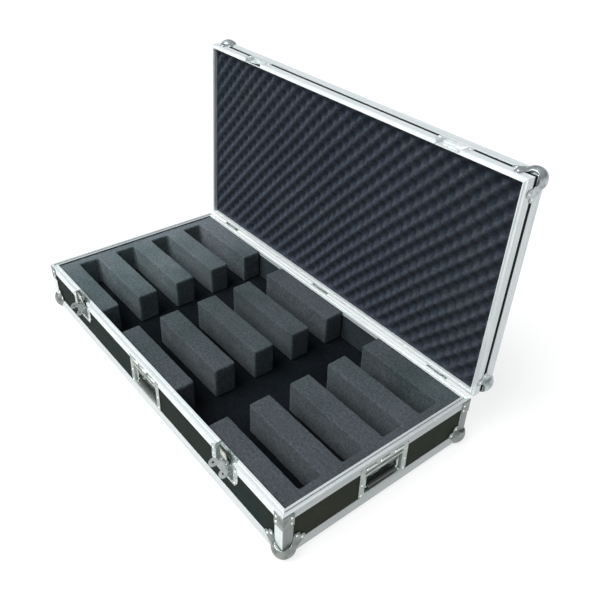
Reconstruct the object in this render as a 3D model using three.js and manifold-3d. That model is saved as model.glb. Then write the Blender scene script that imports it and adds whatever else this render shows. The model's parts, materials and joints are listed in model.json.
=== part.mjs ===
// Flight case with a convoluted foam lid and a slotted foam insert, shown with the lid open.
// Units are millimetres. X runs along the case, Y from front to back, Z is up.
// The origin is the centre of the underside of the floor panel.
import * as THREE from 'three';
import { mergeVertices } from 'three/addons/utils/BufferGeometryUtils.js';
import Module from 'manifold-3d';

const wasm = await Module();
wasm.setup();

// Overall sizes over the aluminium extrusions
const CASE_LENGTH = 1140;
const CASE_DEPTH = 564;
const BASE_HEIGHT = 132;
const LID_HEIGHT = 64;

// Clearances
const FIT = 0.3;
const MITRE_GAP = 0.15;
const SURFACE_GAP = 0.2;
const RUNNING_GAP = 0.4;

// How far a cutter runs past the face that it opens, and joined solids run into each other
const CUT_ROOM = 1;
const JOIN_DEPTH = 1;

// Facets round bars, discs and quarter circles
const BAR_FACETS = 16;
const DISC_FACETS = 24;
const CURVE_STEPS = 5;
const MERGE_DISTANCE = 1e-4;

// Laminated plywood panels and aluminium extrusions
const PANEL = 7.5;
const PANEL_REBATE = 0.5;
const METAL_WALL = 1.5;
const EDGE_LEG = 30;
const EDGE_RADIUS = 3;
const CORNER_LEG = 27;
const CORNER_PROUD = 0.25;
const VALANCE = 22;
const INNER_LEG = 16;
const LID_INNER_LEG = 14;
const RIM_SHELF = 5.2;
const SHELF_THICKNESS = 1.8;
const GROOVE_START = 5.8;
const GROOVE_WIDTH = 5;
const GROOVE_DEPTH = 3.5;
const TONGUE_CLEARANCE = 0.5;
const TONGUE_TAPER = 0.5;
const TONGUE_HEIGHT = 2.8;
const LID_WEB = 2;

// Corner brace over each upright corner of the base
const BRACE_LEG = 28;
const BRACE_BOTTOM = 92;
const BRACE_TOP = 128;
const BRACE_THICKNESS = 1.4;

// Ball corners
const BALL_RADIUS = 28;
const BALL_INSET = 18;
const BALL_SEGMENTS = 12;
const BALL_RINGS = 8;
const PETAL_THICKNESS = 1.4;
const PETAL_CORNER = 39;
const PETAL_WAIST = [48, 21];
const PETAL_RIVET = [50, 36];
const PETAL_LOBE_RADIUS = 9.5;
const PETAL_LOBE_START = -52;
const PETAL_LOBE_END = 110;
const PETAL_DIP = 44.5;

// Hinges with stop lugs
const HINGE_FROM_END = 116;
const HINGE_AXIS_OUT = 3.8;
const HINGE_AXIS_DOWN = 4;
const KNUCKLE_RADIUS = 3.6;
const PIN_RADIUS = 2;
const CENTRE_KNUCKLE = 34;
const SIDE_KNUCKLE = 14;
const LEAF_THICKNESS = 1.7;
const LEAF_HEIGHT = 46;
const STOP_LUG_REACH = 9;
const OPEN_ANGLE = 92.3;

// Recessed spring handles
const HANDLE_FLANGE_WIDTH = 146;
const HANDLE_FLANGE_HEIGHT = 90;
const HANDLE_FLANGE_BOTTOM = 30.6;
const HANDLE_FLANGE_RADIUS = 7;
const HANDLE_OPENING_WIDTH = 114;
const HANDLE_OPENING_HEIGHT = 56;
const HANDLE_OPENING_BOTTOM = 37.5;
const HANDLE_OPENING_RADIUS = 6;
const HANDLE_TUB_DEPTH = 17;
const HANDLE_TUB_TAPER = 0.92;
const DISH_WALL = 1.2;
const BEAD_RADIUS = 2;
const BEAD_DROP = 19.5;
const DISH_RIBS = 3;
const DISH_RIB_LENGTH = 31;
const DISH_RIB_RADIUS = 1.4;
const DISH_RIB_PITCH = 42;
const DISH_RIB_DROP = 5.3;
const BAIL_WIDTH = 101;
const BAIL_ROD = 3.2;
const BAIL_BEND = 7;
const BAIL_FACETS = 8;
const BAIL_STEPS = 32;
const PIVOT_DROP = 9;
const PIVOT_DEPTH = 7.5;
const GRIP_RADIUS = 6.3;
const GRIP_LENGTH = 86;
const GRIP_RISE = 9.5;

// Recessed butterfly latches
const LATCH_FROM_END = 209;
const LATCH_FLANGE_WIDTH = 100;
const LATCH_MOUTH_WIDTH = 70;
const LATCH_MOUTH_SLOPE = 12;
const LATCH_FLANGE_BOTTOM = 64;
const LATCH_FLANGE_TAPER = 18;
const LATCH_FLANGE_FOOT = 76;
const LATCH_POCKET_BOTTOM = 72;
const LATCH_POCKET_RADIUS = 12;
const LATCH_TUB_DEPTH = 12.5;
const CATCH_FLANGE_HEIGHT = 33;
const CATCH_FLANGE_FOOT = 92;
const CATCH_FLANGE_TAPER = 4;
const CATCH_POCKET_HEIGHT = 27;
const CATCH_TUB_DEPTH = 9.3;
const CATCH_BAR_RISE = 9.6;
const CATCH_BAR_THICKNESS = 2.2;
const CATCH_BAR_WIDTH = 40;
const CATCH_BAR_REACH = 3.5;
const SPINDLE_DROP = 28;
const SPINDLE_DISC_RADIUS = 13;
const SPINDLE_DISC_THICKNESS = 1.4;
const SPINDLE_NECK_RADIUS = 5;
const SPINDLE_NECK_LENGTH = 5;
const SPINDLE_HEAD_RADIUS = 11;
const SPINDLE_HEAD_THICKNESS = 1.4;
const EAR_GAP = 16.6;
const EAR_THICKNESS = 2.4;
const EAR_RADIUS = 3;
const WING_PIN_RADIUS = 1.1;
const WING_KNUCKLE_RADIUS = 2.2;
const WING_THICKNESS = 1.8;
const WING_LOBE_RADIUS = 11;
const WING_LOBE_SPACING = 40;
const WING_LOBE_OFFSET = 18;
const WING_HOLE_RADIUS = 3;
const WING_NECK_WIDTH = 15;
const WING_SHOULDER_SHARE = 0.8;
const WING_NOTCH_SHARE = 0.3;
const WING_REST_ANGLE = 65;
const HOOK_THICKNESS = 1.4;
const HOOK_RING_RADIUS = 10;
const HOOK_RING_HOLE = 6;
const HOOK_WIDTH = 28;
const HOOK_STEP_START = 13;
const HOOK_STEP_END = 17;
const HOOK_STEP_OUT = 3.9;
const HOOK_LIP = 2;
const HOOK_LIP_REACH = 3.4;
const HOOK_TILT = 8;
const HOOK_RIBS = 5;
const HOOK_RIB_PITCH = 4.2;
const HOOK_RIB_HEIGHT = 0.8;
const HOOK_RIB_WIDTH = 2;
const HOOK_RIB_INSET = 3;
const HOOK_RIB_MARGIN = 1;

// Foam insert of the base and convoluted foam of the lid
const FOAM_FLOOR = 28.5;
const FOAM_BELOW_RIM = 5;
const FOAM_SLOTS = 4;
const FOAM_SLOT = 61;
const FOAM_END_WALL = 29.6;
const LEFT_COMB_LENGTH = 288.6;
const LEFT_CUT_WIDTH = 115;
const RIGHT_COMB_LENGTH = 290.6;
const RIGHT_CUT_WIDTH = 144;
const POCKET_ROOM = 0.8;
const HANDLE_RELIEF = 8;
const CONVOLUTION_PITCH_X = 22;
const CONVOLUTION_PITCH_Y = 23.8;
const CONVOLUTION_DEPTH = 16;
const LID_FOAM_RECESS = 5;

// Places worked out from the sizes above
const HALF_X = CASE_LENGTH / 2;
const HALF_Y = CASE_DEPTH / 2;
const PANEL_OUT = METAL_WALL + FIT;
const PANEL_IN = PANEL_OUT + PANEL;
const LEG_OUT = PANEL_IN + FIT;
const LEG_IN = LEG_OUT + METAL_WALL;
const FOAM_OUT = LEG_IN + FIT;
const PARTING = BASE_HEIGHT + RUNNING_GAP;
const WEB_BOTTOM = GROOVE_DEPTH + METAL_WALL;
const FACE_LEG = METAL_WALL + PANEL_REBATE;
const HINGE_Y = HALF_Y + HINGE_AXIS_OUT;
const HINGE_Z = BASE_HEIGHT - HINGE_AXIS_DOWN;
const SPINDLE_Z = BASE_HEIGHT - SPINDLE_DROP;
const FOAM_TOP = BASE_HEIGHT - FOAM_BELOW_RIM;
const FOAM_FLOOR_TOP = PANEL_IN + FIT + FOAM_FLOOR;
const RIGHT_ANGLE = Math.PI / 2;
const HINGE_X = HALF_X - HINGE_FROM_END;
const LATCH_X = HALF_X - LATCH_FROM_END;
const LATCH_PLACES = [-LATCH_X, LATCH_X];

// Materials
const finish = (color, roughness, metalness) => () =>
  new THREE.MeshStandardMaterial({ color, roughness, metalness });
const laminate = finish(0x17191a, 0.55, 0);
const aluminium = finish(0xdfe4e5, 0.38, 0.9);
const zincSteel = finish(0xaab0b2, 0.35, 0.95);
const castAlloy = finish(0xb9bdbd, 0.42, 0.9);
const gripRubber = finish(0x1b1c1e, 0.7, 0);
const slateFoam = finish(0x4b5157, 0.95, 0);
const charcoalFoam = finish(0x23262d, 0.95, 0);

const radians = (degrees) => (degrees * Math.PI) / 180;

// A closed geometry becomes a solid for joining and cutting
function toSolid(geometry) {
  const bare = geometry.clone();
  bare.deleteAttribute('normal');
  bare.deleteAttribute('uv');
  const merged = mergeVertices(bare, MERGE_DISTANCE);
  const vertProperties = new Float32Array(merged.attributes.position.array);
  const triVerts = new Uint32Array(merged.index.array);
  const mesh = new wasm.Mesh({ numProp: 3, vertProperties, triVerts });
  mesh.merge();
  return new wasm.Manifold(mesh);
}

// A solid goes back to a geometry
function toGeometry(solid) {
  const { vertProperties, triVerts } = solid.getMesh();
  const geometry = new THREE.BufferGeometry();
  geometry.setAttribute('position', new THREE.BufferAttribute(vertProperties, 3));
  geometry.setIndex(new THREE.BufferAttribute(triVerts, 1));
  geometry.computeVertexNormals();
  return geometry;
}

// Box between two opposite corners
function block(low, high) {
  const size = high.map((value, axis) => value - low[axis]);
  const centre = high.map((value, axis) => (value + low[axis]) / 2);
  return toSolid(new THREE.BoxGeometry(...size).translate(...centre));
}

// Outline extruded along X, where its two coordinates are Y and Z
function alongX(shape, from, to) {
  const geometry = new THREE.ExtrudeGeometry(shape, extrusion(to - from));
  const yAxis = new THREE.Vector3(0, 1, 0);
  const zAxis = new THREE.Vector3(0, 0, 1);
  const turn = new THREE.Matrix4().makeBasis(yAxis, zAxis, new THREE.Vector3(1, 0, 0));
  return toSolid(geometry.applyMatrix4(turn).translate(from, 0, 0));
}

// Outline extruded outwards from the front face, where its two coordinates are X and Z.
// Depths are counted outwards from the face, so an inner depth is negative.
function outwards(shape, inner, outer) {
  const geometry = new THREE.ExtrudeGeometry(shape, extrusion(outer - inner));
  return toSolid(geometry.rotateX(RIGHT_ANGLE).translate(0, -inner, 0));
}

function extrusion(depth) {
  return { depth, bevelEnabled: false, steps: 1, curveSegments: CURVE_STEPS };
}

function polygon(points) {
  return new THREE.Shape(points.map(([a, b]) => new THREE.Vector2(a, b)));
}

// Rectangle with round corners, centred across and standing on its bottom value
function roundedRectangle(width, bottom, height, radius) {
  const half = width / 2;
  const top = bottom + height;
  const shape = new THREE.Shape();
  shape.moveTo(-half + radius, bottom);
  shape.lineTo(half - radius, bottom);
  shape.absarc(half - radius, bottom + radius, radius, -RIGHT_ANGLE, 0, false);
  shape.absarc(half - radius, top - radius, radius, 0, RIGHT_ANGLE, false);
  shape.absarc(-half + radius, top - radius, radius, RIGHT_ANGLE, 2 * RIGHT_ANGLE, false);
  shape.absarc(-half + radius, bottom + radius, radius, 2 * RIGHT_ANGLE, 3 * RIGHT_ANGLE, false);
  return shape;
}

function disc(x, z, radius, segments = DISC_FACETS) {
  const shape = new THREE.Shape();
  for (let step = 0; step < segments; step += 1) {
    const angle = (step / segments) * 2 * Math.PI;
    const point = [x + radius * Math.cos(angle), z + radius * Math.sin(angle)];
    if (step === 0) shape.moveTo(...point);
    else shape.lineTo(...point);
  }
  return shape;
}

// Round bar along X
function roundBar(radius, from, to, y, z) {
  return alongX(disc(y, z, radius, BAR_FACETS), from, to);
}

function joined(solids) {
  return solids.reduce((whole, solid) => whole.add(solid));
}

function without(solid, cutters) {
  return cutters.reduce((rest, cutter) => rest.subtract(cutter), solid);
}

// The four sides of the case, each with the direction that faces out and its half sizes
const SIDES = {
  front: { turn: 0, across: HALF_Y, run: HALF_X },
  right: { turn: 1, across: HALF_X, run: HALF_Y },
  back: { turn: 2, across: HALF_Y, run: HALF_X },
  left: { turn: 3, across: HALF_X, run: HALF_Y },
};

// Turns a solid that is built against the plane of the front face to its own side
function placeOnSide(solid, side) {
  const { turn, across } = SIDES[side];
  return solid.translate([0, -across, 0]).rotate([0, 0, 90 * turn]);
}

// Straight extrusion round one side with its ends mitred at the corners.
// The profile's coordinates are the inset from the outer face and the height.
function mitredBar(profile, side) {
  const { across, run } = SIDES[side];
  const geometry = new THREE.ExtrudeGeometry(profile, extrusion(1));
  const place = geometry.attributes.position;
  for (let index = 0; index < place.count; index += 1) {
    const inset = place.getX(index);
    const height = place.getY(index);
    const end = place.getZ(index) > 0.5 ? 1 : -1;
    place.setXYZ(index, end * (run - inset - MITRE_GAP), inset, height);
  }
  return toSolid(geometry).translate([0, -across, 0]).rotate([0, 0, 90 * SIDES[side].turn]);
}

// Closed frame of the same kind of extrusion round all four sides
function mitredFrame(points) {
  const corners = [[1, -1], [1, 1], [-1, 1], [-1, -1]];
  const positions = [];
  corners.forEach(([signX, signY]) => {
    points.forEach(([inset, height]) => {
      positions.push(signX * (HALF_X - inset), signY * (HALF_Y - inset), height);
    });
  });
  const index = [];
  const count = points.length;
  for (let corner = 0; corner < corners.length; corner += 1) {
    for (let point = 0; point < count; point += 1) {
      const next = (point + 1) % count;
      const other = (corner + 1) % corners.length;
      const a = corner * count + point;
      const b = corner * count + next;
      const c = other * count + next;
      const d = other * count + point;
      index.push(a, d, c, a, c, b);
    }
  }
  const geometry = new THREE.BufferGeometry();
  geometry.setAttribute('position', new THREE.Float32BufferAttribute(positions, 3));
  geometry.setIndex(index);
  return toSolid(geometry);
}

// Quarter circle of points for an outer edge, from one angle to another
function arcPoints(centreA, centreB, radius, startAngle, endAngle) {
  const points = [];
  for (let step = 0; step <= CURVE_STEPS; step += 1) {
    const angle = startAngle + ((endAngle - startAngle) * step) / CURVE_STEPS;
    points.push([centreA + radius * Math.cos(angle), centreB + radius * Math.sin(angle)]);
  }
  return points;
}

// Grooved rim extrusion of the base, which grips the top of the side panels
function baseRimProfile() {
  const top = BASE_HEIGHT;
  const shelf = LEG_IN + RIM_SHELF;
  return [
    [0, top], [GROOVE_START, top],
    [GROOVE_START, top - GROOVE_DEPTH], [GROOVE_START + GROOVE_WIDTH, top - GROOVE_DEPTH],
    [GROOVE_START + GROOVE_WIDTH, top], [shelf, top],
    [shelf, top - SHELF_THICKNESS], [LEG_IN, top - SHELF_THICKNESS],
    [LEG_IN, top - INNER_LEG], [LEG_OUT, top - INNER_LEG],
    [LEG_OUT, top - WEB_BOTTOM], [METAL_WALL, top - WEB_BOTTOM],
    [METAL_WALL, top - VALANCE], [0, top - VALANCE],
  ];
}

// Tongued rim extrusion of the lid, which enters the groove of the base
function lidRimProfile() {
  const face = PARTING;
  const tongueStart = GROOVE_START + TONGUE_CLEARANCE;
  const tongueEnd = GROOVE_START + GROOVE_WIDTH - TONGUE_CLEARANCE;
  return [
    [0, face], [0, face + VALANCE], [METAL_WALL, face + VALANCE], [METAL_WALL, face + LID_WEB],
    [LEG_OUT, face + LID_WEB], [LEG_OUT, face + LID_INNER_LEG],
    [LEG_IN, face + LID_INNER_LEG], [LEG_IN, face], [tongueEnd, face],
    [tongueEnd - TONGUE_TAPER, face - TONGUE_HEIGHT],
    [tongueStart + TONGUE_TAPER, face - TONGUE_HEIGHT], [tongueStart, face],
  ];
}

// Angle extrusion with a round outer corner, for the bottom edges of the base
function bottomEdgeProfile() {
  return [
    ...arcPoints(EDGE_RADIUS, EDGE_RADIUS, EDGE_RADIUS, 2 * RIGHT_ANGLE, 3 * RIGHT_ANGLE),
    [EDGE_LEG, 0], [EDGE_LEG, FACE_LEG], [METAL_WALL, FACE_LEG],
    [METAL_WALL, EDGE_LEG], [0, EDGE_LEG],
  ];
}

// The same angle turned over, for the top edges of the lid
function lidEdgeProfile() {
  const top = PARTING + LID_HEIGHT;
  return [
    ...arcPoints(EDGE_RADIUS, top - EDGE_RADIUS, EDGE_RADIUS, 2 * RIGHT_ANGLE, RIGHT_ANGLE),
    [EDGE_LEG, top], [EDGE_LEG, top - FACE_LEG], [METAL_WALL, top - FACE_LEG],
    [METAL_WALL, top - EDGE_LEG], [0, top - EDGE_LEG],
  ];
}

// Upright corner of the base: an angle between the bottom edge and the rim, and its brace
function cornerAngle(signX, signY) {
  const plate = (inner, outer, leg, radius) => polygon([
    ...arcPoints(radius - outer, radius - outer, radius, 2 * RIGHT_ANGLE, 3 * RIGHT_ANGLE),
    [leg, -outer], [leg, -inner], [-inner, -inner], [-inner, leg], [-outer, leg],
  ]);
  const upright = (shape, bottom, top) =>
    toSolid(new THREE.ExtrudeGeometry(shape, extrusion(top - bottom))).translate([0, 0, bottom]);
  const angleShape = plate(-METAL_WALL, CORNER_PROUD, CORNER_LEG, EDGE_RADIUS);
  const braceShape = plate(SURFACE_GAP, SURFACE_GAP + BRACE_THICKNESS, BRACE_LEG, EDGE_RADIUS);
  const angle = upright(angleShape, EDGE_LEG + FIT, BASE_HEIGHT - VALANCE - FIT);
  const brace = upright(braceShape, BRACE_BOTTOM, BRACE_TOP);
  const corner = angle.add(brace).translate([-HALF_X, -HALF_Y, 0]);
  return mirrored(corner, signX > 0, signY > 0);
}

function mirrored(solid, acrossX, acrossY) {
  let result = solid;
  if (acrossX) result = result.mirror([1, 0, 0]);
  if (acrossY) result = result.mirror([0, 1, 0]);
  return result;
}

// Pressed steel ball corner with a riveted petal on each of its three faces.
// It is built for the corner at the origin of a case that fills the positive octant.
function ballCorner() {
  const from = radians(PETAL_LOBE_START);
  const to = radians(PETAL_LOBE_END);
  const lobe = arcPoints(...PETAL_RIVET, PETAL_LOBE_RADIUS, from, to);
  const halfOutline = [[PETAL_CORNER, 0], PETAL_WAIST, ...lobe];
  const otherHalf = halfOutline.map(([along, up]) => [up, along]).reverse();
  const petal = polygon([[0, 0], ...halfOutline, [PETAL_DIP, PETAL_DIP], ...otherHalf]);
  const gap = CORNER_PROUD + SURFACE_GAP;
  const outer = gap + PETAL_THICKNESS;
  const flat = toSolid(new THREE.ExtrudeGeometry(petal, extrusion(outer))).translate([0, 0, -outer]);
  const frontPetal = flat.rotate([90, 0, 0]).mirror([0, 1, 0]);
  const sidePetal = frontPetal.rotate([0, 0, 90]).mirror([1, 0, 0]);
  const sphere = (radius) => toSolid(
    new THREE.SphereGeometry(radius, BALL_SEGMENTS, BALL_RINGS).rotateX(RIGHT_ANGLE),
  ).translate([BALL_INSET, BALL_INSET, BALL_INSET]);
  const inside = block([-gap, -gap, -gap], [HALF_X, HALF_X, HALF_X]);
  const pressing = joined([flat, frontPetal, sidePetal, sphere(BALL_RADIUS)]);
  return without(pressing, [sphere(BALL_RADIUS - PETAL_THICKNESS), inside]);
}

// Tapered tub behind an opening, from the flange's front plane down to its depth
function taperedTub(shape, depth, scale, centreZ) {
  const geometry = new THREE.ExtrudeGeometry(shape, extrusion(depth));
  const place = geometry.attributes.position;
  for (let index = 0; index < place.count; index += 1) {
    const inward = place.getZ(index);
    const factor = inward > depth / 2 ? scale : 1;
    const x = place.getX(index) * factor;
    const z = centreZ + (place.getY(index) - centreZ) * factor;
    place.setXYZ(index, x, z, -inward);
  }
  geometry.index = null;
  flipFaces(geometry);
  return toSolid(geometry.rotateX(RIGHT_ANGLE));
}

// Turns the faces of a geometry without an index inside out
function flipFaces(geometry) {
  const place = geometry.attributes.position;
  for (let first = 0; first < place.count; first += 3) {
    const [x, y, z] = [place.getX(first), place.getY(first), place.getZ(first)];
    place.setXYZ(first, place.getX(first + 1), place.getY(first + 1), place.getZ(first + 1));
    place.setXYZ(first + 1, x, y, z);
  }
}

const handleCentreZ = HANDLE_OPENING_BOTTOM + HANDLE_OPENING_HEIGHT / 2;
const handleFlangeTop = HANDLE_FLANGE_BOTTOM + HANDLE_FLANGE_HEIGHT;
const handlePivotZ = HANDLE_OPENING_BOTTOM + HANDLE_OPENING_HEIGHT - PIVOT_DROP;
const handleGripZ = HANDLE_OPENING_BOTTOM + GRIP_RISE;

// Outer shape of the handle tub, larger by the given room on every side
function handleTubOuter(room) {
  const wall = DISH_WALL + room;
  const width = HANDLE_OPENING_WIDTH + 2 * wall;
  const height = HANDLE_OPENING_HEIGHT + 2 * wall;
  const radius = HANDLE_OPENING_RADIUS + wall;
  const shape = roundedRectangle(width, HANDLE_OPENING_BOTTOM - wall, height, radius);
  return taperedTub(shape, HANDLE_TUB_DEPTH + wall, HANDLE_TUB_TAPER, handleCentreZ);
}

// Pressed dish of a recessed handle, against the front plane
function handleDish() {
  const flange = outwards(roundedRectangle(
    HANDLE_FLANGE_WIDTH, HANDLE_FLANGE_BOTTOM, HANDLE_FLANGE_HEIGHT, HANDLE_FLANGE_RADIUS,
  ), -METAL_WALL, 0);
  const opening = roundedRectangle(
    HANDLE_OPENING_WIDTH, HANDLE_OPENING_BOTTOM, HANDLE_OPENING_HEIGHT, HANDLE_OPENING_RADIUS,
  );
  const beadZ = handleFlangeTop - BEAD_DROP;
  const beadHalf = HANDLE_OPENING_WIDTH / 2;
  const bead = roundBar(BEAD_RADIUS, -beadHalf, beadHalf, METAL_WALL - BEAD_RADIUS, beadZ);
  const cavity = taperedTub(opening, HANDLE_TUB_DEPTH, HANDLE_TUB_TAPER, handleCentreZ);
  const ribs = [];
  for (let rib = 0; rib < DISH_RIBS; rib += 1) {
    const x = (rib - (DISH_RIBS - 1) / 2) * DISH_RIB_PITCH;
    const half = DISH_RIB_LENGTH / 2;
    const depth = METAL_WALL - DISH_RIB_RADIUS;
    const z = handleFlangeTop - DISH_RIB_DROP;
    ribs.push(roundBar(DISH_RIB_RADIUS, x - half, x + half, depth, z));
  }
  const mouth = outwards(opening, -METAL_WALL / 2, METAL_WALL);
  return without(joined([flange, bead, handleTubOuter(0), ...ribs]), [cavity, mouth]);
}

// Steel bail with its moulded grip, hanging in the dish
function handleBail() {
  const half = BAIL_WIDTH / 2;
  const straight = half - BAIL_BEND;
  const low = handleGripZ;
  const high = handlePivotZ;
  const path = new THREE.CurvePath();
  const point = (x, z) => new THREE.Vector3(x, PIVOT_DEPTH, z);
  path.add(new THREE.LineCurve3(point(-half, high), point(-half, low + BAIL_BEND)));
  path.add(new THREE.QuadraticBezierCurve3(
    point(-half, low + BAIL_BEND), point(-half, low), point(-straight, low)));
  path.add(new THREE.LineCurve3(point(-straight, low), point(straight, low)));
  path.add(new THREE.QuadraticBezierCurve3(
    point(straight, low), point(half, low), point(half, low + BAIL_BEND)));
  path.add(new THREE.LineCurve3(point(half, low + BAIL_BEND), point(half, high)));
  const rod = new THREE.ExtrudeGeometry(disc(0, 0, BAIL_ROD, BAIL_FACETS), {
    steps: BAIL_STEPS, bevelEnabled: false, extrudePath: path,
  });
  const grip = roundBar(GRIP_RADIUS, -GRIP_LENGTH / 2, GRIP_LENGTH / 2, PIVOT_DEPTH, low);
  const pivotHalf = HANDLE_OPENING_WIDTH / 2 * bailDepthScale() - FIT;
  const pivot = roundBar(BAIL_ROD, -pivotHalf, pivotHalf, PIVOT_DEPTH, high);
  return joined([toSolid(rod), grip, pivot]);
}

// Width of the tapered tub at the back of the pivot rod, as a share of its mouth
function bailDepthScale() {
  const depth = PIVOT_DEPTH + BAIL_ROD;
  return 1 - ((1 - HANDLE_TUB_TAPER) * depth) / HANDLE_TUB_DEPTH;
}

// Outline of a latch flange that widens from its mouth, for the base or, upside down, the lid
function latchFlange(mouthZ, direction, farZ, footWidth, footDepth, grow) {
  const mouth = LATCH_MOUTH_WIDTH / 2 + grow;
  const wide = LATCH_FLANGE_WIDTH / 2 + grow;
  const foot = footWidth / 2 + grow;
  const slope = mouthZ - direction * LATCH_MOUTH_SLOPE;
  const far = farZ - direction * grow;
  const bend = farZ + direction * footDepth;
  return polygon([
    [-mouth, mouthZ], [mouth, mouthZ], [wide, slope], [wide, bend],
    [foot, far], [-foot, far], [-wide, bend], [-wide, slope],
  ]);
}

const latchMouthZ = BASE_HEIGHT - FIT;
const catchMouthZ = PARTING + FIT;

function baseLatchOutline(grow) {
  return latchFlange(
    latchMouthZ + grow, 1, LATCH_FLANGE_BOTTOM, LATCH_FLANGE_FOOT, LATCH_FLANGE_TAPER, grow);
}

function lidLatchOutline(grow) {
  return latchFlange(
    catchMouthZ - grow, -1, PARTING + CATCH_FLANGE_HEIGHT, CATCH_FLANGE_FOOT, CATCH_FLANGE_TAPER, grow);
}

// Pocket of the base latch: an outline open at the rim, with round lower corners
function latchPocket(grow, top) {
  const width = LATCH_MOUTH_WIDTH - 2 * DISH_WALL + 2 * grow;
  const bottom = LATCH_POCKET_BOTTOM - grow;
  const half = width / 2;
  const radius = LATCH_POCKET_RADIUS + grow;
  const shape = new THREE.Shape();
  shape.moveTo(-half + radius, bottom);
  shape.lineTo(half - radius, bottom);
  shape.absarc(half - radius, bottom + radius, radius, -RIGHT_ANGLE, 0, false);
  shape.lineTo(half, top);
  shape.lineTo(-half, top);
  shape.absarc(-half + radius, bottom + radius, radius, 2 * RIGHT_ANGLE, 3 * RIGHT_ANGLE, false);
  return shape;
}

// Room that the base latch needs in the panel, the rim and the foam
function latchRoom() {
  const top = BASE_HEIGHT + FIT;
  return outwards(latchPocket(DISH_WALL + FIT, top), -LATCH_TUB_DEPTH - FIT, METAL_WALL);
}

function latchDish() {
  const flange = outwards(baseLatchOutline(0), -METAL_WALL, 0);
  const tub = outwards(latchPocket(DISH_WALL, latchMouthZ), -LATCH_TUB_DEPTH, -METAL_WALL / 2);
  const top = BASE_HEIGHT + FIT;
  const cavity = outwards(latchPocket(0, top), -LATCH_TUB_DEPTH + DISH_WALL, METAL_WALL);
  return flange.add(tub).subtract(cavity);
}

function catchRoom() {
  const half = LATCH_MOUTH_WIDTH / 2 + FIT;
  const top = PARTING + CATCH_POCKET_HEIGHT + DISH_WALL + FIT;
  const tongue = block([-half, 0, PARTING - TONGUE_HEIGHT - FIT], [half, LEG_IN, PARTING]);
  const low = [-half, -METAL_WALL, PARTING - METAL_WALL];
  return block(low, [half, CATCH_TUB_DEPTH + FIT / 2, top]).add(tongue);
}

// Lid half of the latch: a shallow dish with a bar that the hook pulls down on
function latchCatch() {
  const half = LATCH_MOUTH_WIDTH / 2;
  const inner = half - DISH_WALL;
  const top = PARTING + CATCH_POCKET_HEIGHT;
  const back = CATCH_TUB_DEPTH;
  const floor = back - DISH_WALL;
  const flange = outwards(lidLatchOutline(0), -METAL_WALL, 0);
  const tub = block([-half, METAL_WALL / 2, catchMouthZ], [half, back, top + DISH_WALL]);
  const cavity = block([-inner, -METAL_WALL, PARTING - METAL_WALL], [inner, floor, top]);
  const barZ = PARTING + CATCH_BAR_RISE;
  const barHalf = CATCH_BAR_WIDTH / 2;
  const bar = block(
    [-barHalf, floor - CATCH_BAR_REACH, barZ], [barHalf, back, barZ + CATCH_BAR_THICKNESS]);
  return flange.add(tub).subtract(cavity).add(bar);
}

const latchFloorDepth = LATCH_TUB_DEPTH - DISH_WALL;
const discBack = latchFloorDepth - FIT;
const discFront = discBack - SPINDLE_DISC_THICKNESS;
const headBack = discFront - SPINDLE_NECK_LENGTH;
const headFront = headBack - SPINDLE_HEAD_THICKNESS;
const wingPinDepth = headFront - WING_KNUCKLE_RADIUS - RUNNING_GAP;

// Spindle of a latch with two ears and the cross pin that the wing folds on
function latchSpindle() {
  const turned = [
    outwards(disc(0, 0, SPINDLE_DISC_RADIUS), -discBack, -discFront),
    outwards(disc(0, 0, SPINDLE_NECK_RADIUS), -discBack, -headFront),
    outwards(disc(0, 0, SPINDLE_HEAD_RADIUS), -headBack, -headFront),
  ];
  const inner = EAR_GAP / 2;
  const outer = inner + EAR_THICKNESS;
  [1, -1].forEach((sign) => {
    const from = sign > 0 ? inner : -outer;
    const to = from + EAR_THICKNESS;
    turned.push(roundBar(EAR_RADIUS, from, to, wingPinDepth, 0));
  });
  turned.push(roundBar(WING_PIN_RADIUS, -outer, outer, wingPinDepth, 0));
  return joined(turned);
}

// Two-lobed wing, folded flat below its pin, which is the origin of this solid
function latchWing() {
  const pinHole = WING_PIN_RADIUS + RUNNING_GAP;
  const half = EAR_GAP / 2 - RUNNING_GAP;
  const knuckle = roundBar(WING_KNUCKLE_RADIUS, -half, half, 0, 0);
  const lobeX = WING_LOBE_SPACING / 2;
  const centreZ = -WING_LOBE_OFFSET;
  const neck = WING_NECK_WIDTH / 2;
  const plate = (shape) => outwards(shape, -WING_THICKNESS / 2, WING_THICKNESS / 2);
  const neckTop = -WING_KNUCKLE_RADIUS / 2;
  const neckEnd = -EAR_RADIUS - RUNNING_GAP;
  const shoulder = centreZ + WING_LOBE_RADIUS * WING_SHOULDER_SHARE;
  const notch = centreZ + WING_LOBE_RADIUS * WING_NOTCH_SHARE;
  const waist = polygon([
    [-neck, neckTop], [-neck, neckEnd], [-lobeX, shoulder], [-lobeX, centreZ], [0, notch],
    [lobeX, centreZ], [lobeX, shoulder], [neck, neckEnd], [neck, neckTop],
  ]);
  const lobes = [-lobeX, lobeX].map((x) => plate(disc(x, centreZ, WING_LOBE_RADIUS)));
  const holes = [-lobeX, lobeX].map(
    (x) => outwards(disc(x, centreZ, WING_HOLE_RADIUS), -METAL_WALL, METAL_WALL));
  const pin = roundBar(pinHole, -half - CUT_ROOM, half + CUT_ROOM, 0, 0);
  return without(joined([plate(waist), knuckle, ...lobes]), [...holes, pin]);
}

const hookRingCentre = (discFront + headBack) / 2 + SURFACE_GAP;
const hookTop = PARTING + CATCH_BAR_RISE + CATCH_BAR_THICKNESS + FIT + HOOK_LIP - SPINDLE_Z;

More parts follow.
